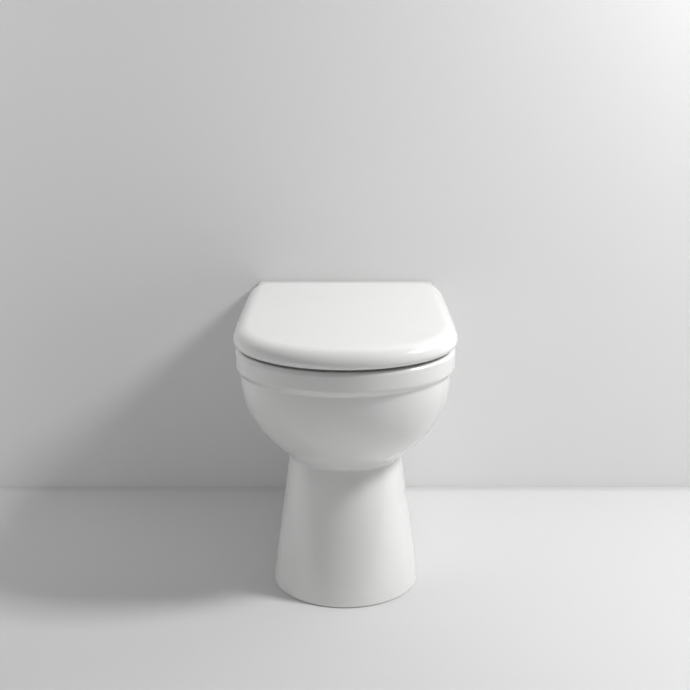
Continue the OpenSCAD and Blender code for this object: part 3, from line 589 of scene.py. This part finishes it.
# ---- The china ----


@dataclass
class China:
    """The pan: rim, bowl and pedestal in one glazed surface, open at the back."""

    rim: float = RIM_BOX[1].z / MM
    front: float = WALL_Y - RIM_BOX[0].y / MM
    half: float = RIM_BOX[1].x / MM
    shelf_half: float = 159.0
    widest: float = 385.0
    band: float = 31.0
    ledge: float = 8.0
    ledge_ease: float = 3.0
    step: float = 7.0
    edge: float = 7.0
    corner: float = 5.0
    lip: float = 34.0
    undercut: float = 26.0
    lip_edge: float = 8.0
    lip_round: float = 4.0
    bowl_wall: float = 14.0
    rear_wall: float = 18.0
    inner_rear: float = 6.0
    inner_low: float = 4.0
    inner_back: float = 20.0
    inner_corner: tuple[float, float] = (70.0, 46.0)
    to_sump: float = 0.72
    fullness: float = 2.2
    crease_side: float = 212.0
    crease_front: float = 219.0
    crease_round: float = 5.0
    pedestal_wall: float = 13.0
    foot_edge: float = 3.0
    sump_floor: float = 45.0
    sump_top: float = 186.0
    sump_bottom_round: float = 24.0
    roof_drop: float = 16.0
    roof_round: float = 8.0
    opening: Outline = Outline(118, 110, 192, 470, 343, 84)
    pedestal_top: Outline = Outline(91, 83.4, 0, 438, 338, 5)
    foot: Outline = Outline(118.5, 101.9, 0, 491, 372.5, 5)
    sump: Outline = Outline(42, 40, 250, 338, 294, 38)
    trap_seat: float = 262.0
    trap_height: float = 86.0
    trap_outer: float = 46.3
    trap_bore: float = 38.0
    trap_room: float = 3.0
    trap_reach: float = 60.0
    cavity_step: float = 34.0
    cavity_lean: float = 4.0
    cavity_front: float = 180.0
    cavity_rear: float = 100.0
    cavity_bend: float = 188.0
    cavity_top: float = 262.0
    inlet_height: float = 330.0
    inlet_port: float = 18.0
    inlet_reach: float = 30.0
    bolt_hole: float = 7.0
    side_hole: float = 5.0
    cap_hole: float = 8.2
    cap_depth: float = 1.5
    cap_reach: float = 10.0
    screw_in: float = 40.0
    screw_out: float = 20.0
    back_ease: float = 1.0
    shoulder_start: float = 12.0
    shoulder_bend: tuple[float, float] = (6.0, 3.0)
    shoulder_end: float = 16.0
    fine: int = 96
    past: float = 1.0
    outer: Outline = field(init=False)
    below_band: Outline = field(init=False)

    def __post_init__(self) -> None:
        """Works out the two outlines that hang on the rim's."""
        self.outer = Outline(self.half, self.shelf_half, 0, self.front, self.widest, self.corner)
        self.below_band = Outline(self.half - self.step, self.shelf_half - self.step, 0,
                                  self.front - self.step, self.widest, self.corner)

    @property
    def bowl_top(self) -> float:
        """The height just below the band's ledge."""
        return self.rim - self.band - self.ledge

    def way(self, height: float) -> float:
        """Returns the share of the way down from the ledge to the crease."""
        return (self.bowl_top - height) / (self.bowl_top - self.crease_side)

    def bowl(self, height: float) -> Outline:
        """Returns the bowl's outside at a height: a parabola from ledge to crease."""
        return self.below_band.mixed(self.pedestal_top,
                                     max(0.0, self.way(height)) ** self.fullness)

    def bowl_ring(self, height: float) -> np.ndarray:
        """Returns the bowl's ring at a height. Its front lies higher, by the way cubed."""
        lift = (self.crease_front - self.crease_side) * self.way(height) ** 3
        return ring(self.bowl(height), (height, height, height + lift))

    def pedestal(self, height: float) -> Outline:
        """Returns the pedestal's outside at a height, on straight lines to the foot."""
        return self.foot.mixed(self.pedestal_top, height / self.crease_side)

    def pedestal_ring(self, height: float) -> np.ndarray:
        """Returns the pedestal's ring at a height, tilted up to the crease in front."""
        share = (height - self.foot_edge) / (self.crease_side - self.foot_edge)
        lift = (self.crease_front - self.crease_side) * share
        return ring(self.pedestal(height), (height, height, height + lift))

    def inner(self, height: float) -> Outline:
        """Returns the bowl's inside at a height, a wall in and drawn down to the sump."""
        v = (self.bowl_top - height) / (self.bowl_top - self.sump_top)
        o = self.bowl(max(height, self.crease_side))
        wide = Outline(o.half - self.bowl_wall, o.rear_half - self.bowl_wall - self.rear_wall,
                       mix(self.opening.rear + self.inner_rear,
                           self.sump.rear - self.inner_low, v),
                       o.front - self.bowl_wall, o.widest - self.inner_back,
                       mix(*self.inner_corner, v))
        return wide.mixed(self.sump, smooth((v - self.to_sump) / (1 - self.to_sump)))

    def inside_rings(self) -> list[np.ndarray]:
        """Returns the sump and the bowl's inside, upwards."""
        depth = self.sump_bottom_round
        rings = [ring(self.sump.shrunk(math.sin(a)),
                      level(self.sump_floor + depth * (1 - math.cos(a))))
                 for a in np.linspace(0.15, math.pi / 2, 10)]
        rings += [ring(self.sump, level(z))
                  for z in np.linspace(self.sump_floor + depth, self.sump_top, 7)[1:-1]]
        return rings + [ring(self.inner(h), level(h))
                        for h in np.linspace(self.sump_top, self.bowl_top, 36)]

    def rim_rings(self) -> list[np.ndarray]:
        """Returns the lip, the flat top, the outer edge, the band and its ledge."""
        under, r = self.rim - self.lip, self.lip_round
        rings = [ring(self.opening.inset(-s, -min(s, r)), level(under))
                 for s in (self.undercut, 18, 10, r)]
        rings += [ring(self.opening.inset(-r * (1 - math.sin(a)), -r * (1 - math.sin(a))),
                       level(under + r * (1 - math.cos(a))))
                  for a in np.linspace(0.3, math.pi / 2, 5)]
        e = self.lip_edge
        rings += [ring(self.opening.inset(-e * (1 - math.cos(a)), -e * (1 - math.cos(a))),
                       level(self.rim - e + e * math.sin(a)))
                  for a in np.linspace(0, math.pi / 2, 9)]
        mouth, brink = self.opening.inset(-e, -e), self.outer.inset(self.edge, 0)
        rings += [ring(mouth.mixed(brink, s), level(self.rim)) for s in (0.25, 0.5, 0.75)]
        rings += [ring(self.outer.inset(self.edge * (1 - math.sin(a)), 0),
                       level(self.rim - self.edge * (1 - math.cos(a))))
                  for a in np.linspace(0, math.pi / 2, 9)]
        start, end = self.rim - self.band + self.ledge_ease, self.bowl_top - self.ledge_ease
        rings += [ring(self.outer, level(z))
                  for z in np.linspace(self.rim - self.edge, start, 5)[1:]]
        rings += [ring(self.outer.mixed(self.below_band, smooth(s)), level(mix(start, end, s)))
                  for s in np.linspace(0, 1, 14)[1:]]
        return rings

    def outside_rings(self) -> list[np.ndarray]:
        """Returns the bowl's outside, the crease, the pedestal and the foot, downwards."""
        start = self.crease_side + self.crease_round
        end = self.crease_side - self.crease_round
        rings = [self.bowl_ring(h)
                 for h in np.linspace(self.bowl_top - self.ledge_ease, start, 44)[1:]]
        rings += rounded_crease(self.bowl_ring(start), self.bowl_ring(self.crease_side),
                                self.pedestal_ring(end), 6)
        rings += [self.pedestal_ring(h) for h in np.linspace(end, self.foot_edge, 22)]
        base = self.pedestal(self.foot_edge)
        return rings + [ring(base.inset(self.foot_edge * (1 - math.cos(a)), 0),
                             level(self.foot_edge * (1 - math.sin(a))))
                        for a in np.linspace(0, math.pi / 2, 6)[1:]]

    def hollow_rings(self) -> list[np.ndarray]:
        """Returns the pedestal's hollow, upwards, and down again round the sump's well."""
        wall, top = self.pedestal_wall, self.sump_top - self.roof_drop
        well = self.sump.inset(-self.bowl_wall, -self.bowl_wall)
        rings = [ring(self.pedestal(h).inset(wall, wall), level(h))
                 for h in (0, top / 4, top / 2, top * 3 / 4, top - self.roof_round)]
        roof = self.pedestal(top).inset(wall, wall)
        rings += [ring(roof.mixed(well, s), level(top)) for s in (0.35, 0.8)]
        rings.append(ring(well, level(top - self.roof_round)))
        return rings + [ring(well.shrunk(math.sin(a)),
                             level(self.sump_floor - self.bowl_wall
                                   + self.sump_bottom_round * (1 - math.cos(a))))
                        for a in np.linspace(math.pi / 2, 0.3, 6)]

    def cutters(self) -> list[bpy.types.Object]:
        """Returns the tools that open the back, the trap's seat and the fixing holes."""
        wall, under = self.pedestal_wall, self.rim - self.lip
        half = [(self.pedestal(0).rear_half - wall, -self.past)]
        half += [(self.bowl(h).rear_half - wall - self.back_ease, h)
                 for h in np.linspace(self.crease_side, self.bowl_top - self.shoulder_start, 12)]
        skin_half, (bend, drop) = self.below_band.rear_half - wall, self.shoulder_bend
        half += [(skin_half - bend, self.bowl_top - drop), (skin_half - self.shoulder_end, under)]
        section = half + [(-x, z) for x, z in reversed(half)]
        room, low_front = self.trap_outer + self.trap_room, self.trap_seat - self.cavity_step
        side = [(self.cavity_rear, -self.past), (low_front, -self.past),
                (low_front, self.cavity_bend),
                (self.cavity_front + self.cavity_lean, self.cavity_top),
                (self.cavity_rear, self.cavity_top)]
        middle = (self.sump.rear + self.sump.front) / 2
        tools = [prism(section, -self.past, self.cavity_front),
                 prism(side, -room, room, sideways=True),
                 rod(self.trap_outer, at(0, self.trap_seat, self.trap_height),
                     at(0, self.trap_seat - self.trap_reach, self.trap_height), self.fine),
                 rod(self.trap_bore, at(0, self.trap_seat - self.past, self.trap_height),
                     at(0, middle, self.trap_height), self.fine),
                 rod(self.inlet_port, at(0, self.cavity_front - self.past, self.inlet_height),
                     at(0, self.opening.rear + self.inlet_reach, self.inlet_height))]
        for sign, name in ((-1, "left"), (1, "right")):
            bolt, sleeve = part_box(f"{name}_fixing_bolt"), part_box(f"{name}_screw_sleeve")
            x, y = ((bolt[0] + bolt[1]) / 2 / MM).xy
            tools.append(rod(self.bolt_hole, Vector((x, y, under - self.past)),
                             Vector((x, y, self.rim + self.past))))
            _, y, z = (sleeve[0] + sleeve[1]) / 2 / MM
            face = max(abs(sleeve[0].x), abs(sleeve[1].x)) / MM - self.cap_depth
            spans = ((self.side_hole, face - self.screw_in, face + self.screw_out),
                     (self.cap_hole, face, face + self.cap_reach))
            tools += [rod(r, Vector((sign * inner, y, z)), Vector((sign * outer, y, z)))
                      for r, inner, outer in spans]
        return tools

    def build(self, wardrobe: Wardrobe) -> None:
        """Builds the china and puts it on the pan's body."""
        obj = skin("china", self.inside_rings() + self.rim_rings() + self.outside_rings()
                   + self.hollow_rings())
        combine(obj, self.cutters(), "DIFFERENCE")
        shade(obj, flat=True)
        wardrobe.place(obj, "pan", "rim", "bowl", "pedestal")


# ---- The lid and the seat ----


@dataclass
class Knuckles:
    """The hinge knuckles on the rear of the lid or the seat, with their arms."""

    axis_from_wall: float = 112.0
    axis_height: float = 424.0
    radius: float = 7.0
    bore: float = 3.05
    damper_bore: float = 5.45
    width: float = 12.0
    damper_room: float = 27.0
    overlap: float = 0.05
    past: float = 1.0

    def barrel(self, start: float, width: float, reach: float, low: float,
               high: float) -> list[bpy.types.Object]:
        """Returns a knuckle and the arm that carries it.

        Args:
            start: Where the knuckle starts on X.
            width: Its width on X.
            reach: How far the arm runs to the front.
            low: The arm's underside, from the axis.
            high: The arm's top, from the axis.

        Returns:
            The barrel and the arm.
        """
        d, z = self.axis_from_wall, self.axis_height
        corners = [(d, z + low), (d + reach, z + low), (d + reach, z + high), (d, z + high)]
        return [rod(self.radius, at(start, d, z), at(start + width, d, z)),
                prism(corners, start, start + width, sideways=True)]

    def hole(self, radius: float, start: float, end: float) -> bpy.types.Object:
        """Returns a cutter along the axis between two side positions."""
        d, z = self.axis_from_wall, self.axis_height
        return rod(radius, at(start, d, z), at(end, d, z))


@dataclass
class Lid:
    """The lid: a thin shell that wraps over the seat, with its hinge knuckles."""

    knuckles: Knuckles
    rim: float = RIM_BOX[1].z / MM
    top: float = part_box("lid")[1].z / MM
    outline: Outline = Outline(177, 164.5, 125, 520, 378, 38)
    waist: float = 13.0
    gap: float = 4.5
    round_out: float = 25.0
    rear_round: float = 10.0
    tuck: float = 6.0
    rear_tuck: float = 1.5
    wall: float = 3.6
    fall: float = 0.4
    full: float = 2.12
    inner_x: float = 56.1
    outer_x: float = 86.9
    buffer_x: float = 130.0
    buffer_from_wall: float = 412.0
    boss_radius: float = 7.0
    boss_low: float = 427.05
    boss_sunk: float = 0.5
    arm_low: float = -5.0
    arm_drop: float = 2.0
    arm_bite: float = 2.0
    notch_over: float = 2.0
    notch_long: float = 20.0
    notch_side: float = 1.5

    def edge_outline(self) -> Outline:
        """Returns the outline where the rounding meets the top."""
        return self.outline.inset(self.round_out, self.rear_round)

    def edge_height(self, share: float, drop: float = 0.0) -> Heights:
        """Returns the height round the edge, a share of the way from waist to top."""
        return level(mix(self.rim + self.waist, self.top - self.fall, share) - drop)

    def crown(self, share: float, drop: float) -> np.ndarray:
        """Returns a ring of the top, which rises to its middle with 1 - share^2."""
        points = ring(self.edge_outline().shrunk(share), self.edge_height(1), self.full)
        points[:, 2] = mix(points[:, 2], self.top, 1 - share**2) - drop
        return points

    def rounding(self, a: float, inside: float) -> np.ndarray:
        """Returns a ring of the rounding: an ellipse's arc from the waist to the top."""
        out = self.round_out - inside
        back = self.rear_round - inside
        outline = self.outline.inset(inside + out * (1 - math.cos(a)),
                                     inside + back * (1 - math.cos(a)))
        return ring(outline, self.edge_height(math.sin(a), inside * math.sin(a)), self.full)

    def skirt(self, a: float, inside: float) -> np.ndarray:
        """Returns a ring of the tuck below the waist, down to the bottom edge."""
        outline = self.outline.inset(inside + self.tuck * (1 - math.cos(a)),
                                     inside + self.rear_tuck * (1 - math.cos(a)))
        height = mix(self.rim + self.waist, self.rim + self.gap, math.sin(a))
        return ring(outline, level(height), mix(self.full, 2.0, math.sin(a)))

    def rings(self) -> list[np.ndarray]:
        """Returns the whole shell, from the top's middle out, down, in and back up."""
        quarter, shares = math.pi / 2, (0.03, *np.linspace(0.12, 0.97, 18))
        rings = [self.crown(s, 0) for s in shares]
        rings += [self.rounding(a, 0) for a in np.linspace(quarter, 0, 22)]
        rings += [self.skirt(a, 0) for a in np.linspace(0, quarter, 10)[1:]]
        rings += [self.skirt(a, self.wall) for a in np.linspace(quarter, 0, 6)[:-1]]
        rings += [self.rounding(a, self.wall) for a in np.linspace(0, quarter, 12)]
        return rings + [self.crown(s, self.wall) for s in reversed(shares[::2])]

    def build(self, wardrobe: Wardrobe) -> None:
        """Builds the lid and puts it on its body."""
        k, past = self.knuckles, self.knuckles.past
        obj = skin("lid_shell", self.rings())
        reach = self.outline.rear - k.axis_from_wall + self.arm_bite
        arm = (reach, self.arm_low, k.radius - self.arm_drop)
        joins = [*k.barrel(self.inner_x, k.width, *arm),
                 *k.barrel(-self.inner_x - k.width, k.width, *arm),
                 *k.barrel(-self.inner_x - k.overlap, k.damper_room + k.overlap, *arm)]
        boss_top = self.top - self.wall - self.boss_sunk
        joins += [rod(self.boss_radius,
                      at(s * self.buffer_x, self.buffer_from_wall, self.boss_low),
                      at(s * self.buffer_x, self.buffer_from_wall, boss_top))
                  for s in (-1, 1)]
        combine(obj, joins, "UNION")
        cuts = [k.hole(k.bore, s * (self.inner_x - past), s * (self.inner_x + k.width + past))
                for s in (-1, 1)]
        cuts.append(k.hole(k.damper_bore, -self.inner_x, -self.inner_x + k.damper_room + past))
        low, high = self.rim + self.gap - past, k.axis_height + self.notch_over
        near = self.outline.rear - past
        far = self.outline.rear + self.notch_long
        notch = [(near, low), (far, low), (far, high), (near, high)]
        beside = self.notch_side
        wide, narrow = k.width + k.damper_room + 2 * beside, k.width + 2 * beside
        for start, width in ((self.outer_x - beside, wide),
                             (-self.outer_x + beside - narrow, narrow)):
            cuts.append(prism(notch, start, start + width, sideways=True))
        combine(obj, cuts, "DIFFERENCE")
        shade(obj)
        wardrobe.place(obj, "lid", "lid")


@dataclass
class Seat:
    """The seat ring, with its hinge knuckles."""

    knuckles: Knuckles
    low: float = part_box("seat_ring")[0].z / MM
    thickness: float = 14.0
    outer: Outline = Outline(164.9, 152.4, 138, 507.9, 378, 38)
    hole: Outline = Outline(106, 100, 202, 452, 327, 74)
    outer_x: float = 86.9
    section_points: int = 56
    side_power: float = 0.55
    top_power: float = 0.7
    under_power: float = 0.45
    arm_bite: float = 12.0

    def rings(self) -> list[np.ndarray]:
        """Returns the ring's section swept round the hole.

        At each angle the outline lies between the hole's and the outer one by
        (1 + cos(a)^p) / 2, and the height is sin(a)^q of half the thickness, with a
        squarer underside than top.
        """
        rings = []
        for a in np.linspace(0, 2 * math.pi, self.section_points, endpoint=False):
            c, s = math.cos(a), math.sin(a)
            across = (1 + math.copysign(abs(c) ** self.side_power, c)) / 2
            up = math.copysign(abs(s) ** (self.top_power if s > 0 else self.under_power), s)
            middle = self.low + self.thickness / 2
            rings.append(ring(self.hole.mixed(self.outer, across),
                              level(middle + up * self.thickness / 2)))
        return rings

    def build(self, wardrobe: Wardrobe) -> None:
        """Builds the seat and puts it on its body."""
        k, past = self.knuckles, self.knuckles.past
        obj = skin("seat", self.rings(), looped=True)
        reach = self.outer.rear - k.axis_from_wall + self.arm_bite
        far = self.outer_x + k.width
        joins = [*k.barrel(self.outer_x, k.width, reach, -k.radius, 0),
                 *k.barrel(-far, k.width, reach, -k.radius, 0),
                 *k.barrel(far - k.overlap, k.damper_room + k.overlap, reach, -k.radius, 0)]
        combine(obj, joins, "UNION")
        cuts = [k.hole(k.bore, s * (self.outer_x - past), s * (far + past)) for s in (-1, 1)]
        cuts.append(k.hole(k.damper_bore, far, far + k.damper_room + past))
        combine(obj, cuts, "DIFFERENCE")
        shade(obj)
        wardrobe.place(obj, "seat", "seat_ring")


# ---- Small pieces ----


@dataclass(frozen=True)
class Softened:
    """A copy of a frame solid with its edges rounded."""

    node: str
    body: str
    edge: float
    segments: int = 3
    sharp_from: float = 35.0
    flat_to: float = 1.0

    def build(self, wardrobe: Wardrobe) -> None:
        """Copies, merges and bevels the node's mesh, and puts the copy on its body."""
        obj = linked(f"{self.node}_finished", frame["nodes"][self.node].data.copy())
        bm = bmesh.new()
        bm.from_mesh(obj.data)
        bmesh.ops.remove_doubles(bm, verts=bm.verts, dist=1e-6)
        bmesh.ops.dissolve_limit(bm, angle_limit=math.radians(self.flat_to),
                                 verts=bm.verts, edges=bm.edges)
        bm.to_mesh(obj.data)
        bm.free()
        bevel = obj.modifiers.new("edges", "BEVEL")
        bevel.width, bevel.segments = self.edge * MM, self.segments
        bevel.angle_limit = math.radians(self.sharp_from)
        bevel.use_clamp_overlap = True
        settle(obj)
        shade(obj)
        wardrobe.place(obj, self.body, self.node)


@dataclass
class Thread:
    """A fixing bolt with its thread cut down to the wing nut's reach."""

    side: str
    pitch: float = 1.25
    depth: float = 0.7
    plain: float = 24.0
    around: int = 40
    steps: int = 8
    end_edge: float = 0.6
    head_edge: float = 0.5

    def build(self, wardrobe: Wardrobe) -> None:
        """Builds the bolt as r(angle, z) and puts it on the pan's body.

        The radius is the bolt's own, less the thread's depth times a triangle wave of
        z / pitch - angle / 2 pi. The wave fades out towards both ends and the plain shank.
        """
        node = f"{self.side}_fixing_bolt"
        low, high = (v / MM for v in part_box(node))
        radius, z_end = (high.x - low.x) / 2, high.z - self.plain
        z = np.concatenate([np.arange(low.z, z_end, self.pitch / self.steps),
                            [z_end, high.z - self.end_edge, high.z]])
        a = np.linspace(0, 2 * math.pi, self.around, endpoint=False)
        wave = np.abs(((z[:, None] / self.pitch - a[None, :] / (2 * math.pi)) % 1) * 2 - 1)
        fade = np.clip(np.minimum(z - low.z, z_end - z) / self.pitch, 0, 1)[:, None]
        r = radius - self.depth * wave * fade
        r[0] -= self.end_edge
        r[-1] -= self.head_edge
        centre = (low + high) / 2
        x, y = centre.x + r * np.cos(a), centre.y + r * np.sin(a)
        rings = np.stack([x, y, np.broadcast_to(z[:, None], x.shape)], -1)
        obj = skin(f"{self.side}_threaded_bolt", list(rings))
        shade(obj, 60.0)
        wardrobe.place(obj, "pan", node)


SOFTENED = (
    [Softened(f"{s}_{n}", "pan", e) for s in ("left", "right") for n, e in (
        ("hinge_post", 0.5), ("hinge_pin", 0.4), ("rubber_bush", 0.8), ("fixing_washer", 0.3),
        ("wing_nut", 0.9), ("floor_block", 0.8), ("screw_sleeve", 0.3), ("side_screw", 0.25))]
    + [Softened("seat_buffers", "seat", 0.8), Softened("seat_damper", "seat", 0.4),
       Softened("lid_buffers", "lid", 0.7), Softened("lid_damper", "lid", 0.4)]
)


# ---- Stage ----


@dataclass
class Stage:
    """The camera, the floor, the wall and the light."""

    camera: Vector = field(default_factory=lambda: Vector((-0.0008, -2.4237, 1.1509)))
    pitch: float = 17.920
    lens: float = 79.86
    floor_grey: float = 0.69
    wall_grey: float = 0.84
    reach: float = 6.0
    bounce_from: float = 0.03
    sensor: float = 36.0
    behind: float = 0.0005
    soft: float = 0.155

    def surface(self, name: str, corners: Sequence[tuple[float, float, float]],
                grey: float) -> bpy.types.Object:
        """Makes one flat stage surface from its corners."""
        obj = new_object(name, np.array(corners) / MM, [[0, 1, 2, 3]])
        material = bpy.data.materials.new(name)
        material.use_nodes = True
        fill(material.node_tree.nodes["Principled BSDF"], {
            "Base Color": (grey, grey, grey, 1.0), "Roughness": 0.9,
            "Specular IOR Level": 0.1})
        obj.data.materials.append(material)
        return obj

    def build_floor(self) -> None:
        """Makes the floor."""
        r = self.reach
        self.surface("floor", [(-r, -r, 0), (r, -r, 0), (r, r, 0), (-r, r, 0)], self.floor_grey)

    def build_wall(self) -> None:
        """Makes the wall.

        It shows from the front only. It throws light back on what stands clear of it, and
        lets the light through to the object's back.
        """
        r, y = self.reach, WALL_Y * MM + self.behind
        obj = self.surface("wall", [(-r, y, 0), (r, y, 0), (r, y, r), (-r, y, r)],
                           self.wall_grey)
        for polygon in obj.data.polygons:
            if polygon.normal.y > 0:
                obj.data.flip_normals()
        tree = obj.data.materials[0].node_tree
        solid = tree.nodes["Principled BSDF"].outputs["BSDF"]
        clear = tree.nodes.new("ShaderNodeBsdfTransparent").outputs["BSDF"]
        path = tree.nodes.new("ShaderNodeLightPath").outputs
        backfacing = tree.nodes.new("ShaderNodeNewGeometry").outputs["Backfacing"]
        far = compute(tree, "GREATER_THAN", path["Ray Length"], self.bounce_from)
        bounce = compute(tree, "MULTIPLY_ADD", path["Is Diffuse Ray"], far,
                         path["Is Camera Ray"])
        seen = compute(tree, "MAXIMUM", bounce, path["Is Glossy Ray"])
        front = compute(tree, "SUBTRACT", seen, backfacing)
        front.node.use_clamp = True
        choose = fill(tree.nodes.new("ShaderNodeMixShader"), {"Fac": front, 1: clear, 2: solid})
        fill(tree.nodes["Material Output"], {"Surface": choose.outputs["Shader"]})

    def build_camera(self) -> None:
        """Makes the camera at the photograph's place."""
        data = bpy.data.cameras.new("camera")
        data.lens, data.sensor_width = self.lens, self.sensor
        obj = linked("camera", data)
        obj.location = self.camera
        obj.rotation_euler = (math.radians(90 - self.pitch), 0, 0)
        bpy.context.scene.camera = obj

    def lamp(self, name: str, place: Vector, target: Vector, size: float, watts: float,
             mirrored: bool = False) -> None:
        """Makes one square lamp that faces a target, mirrored in the gloss or not."""
        data = bpy.data.lights.new(name, "AREA")
        data.size, data.energy = size, watts
        obj = linked(name, data)
        obj.location = place
        obj.rotation_euler = (target - place).to_track_quat("-Z", "Y").to_euler()
        obj.visible_glossy = mirrored

    def build_light(self) -> None:
        """Makes the lamps and the soft light all round.

        The key stands to the right beside the object, so its front is shaded. Two weak lamps
        fill from the left, and one from the front right, with no streaks in the gloss.
        """
        target = Vector((0, 0, 0.25))
        self.lamp("key", Vector((1.45, -0.3, 1.8)), target, 0.4, 35, mirrored=True)
        self.lamp("left_high", Vector((-1.2, -0.1, 1.2)), target, 0.8, 3.2)
        self.lamp("left_low", Vector((-1.8, -0.6, 0.4)), target, 0.8, 3.2)
        self.lamp("front", Vector((1.6, -1.6, 0.6)), target, 1.0, 4.7)
        world = bpy.data.worlds.new("soft")
        world.use_nodes = True
        fill(world.node_tree.nodes["Background"],
             {"Color": (1, 1, 1, 1), "Strength": self.soft})
        bpy.context.scene.world = world

    def build(self) -> None:
        """Makes the whole stage."""
        self.build_camera()
        self.build_floor()
        self.build_wall()
        self.build_light()
        bpy.context.scene.view_settings.view_transform = "Standard"


def main() -> None:
    """Builds the stage and every piece."""
    logging.basicConfig(level=logging.INFO, format="%(name)s: %(message)s")
    Stage().build()
    wardrobe = Wardrobe()
    knuckles = Knuckles()
    China().build(wardrobe)
    Lid(knuckles).build(wardrobe)
    Seat(knuckles).build(wardrobe)
    for piece in SOFTENED:
        piece.build(wardrobe)
    for side in ("left", "right"):
        Thread(side).build(wardrobe)
    for name, node in frame["nodes"].items():
        if not node.hide_render:
            wardrobe.dress(node, wardrobe.slots[name])
            LOG.info("%s keeps its own solid", name)


if __name__ == "__main__":
    main()
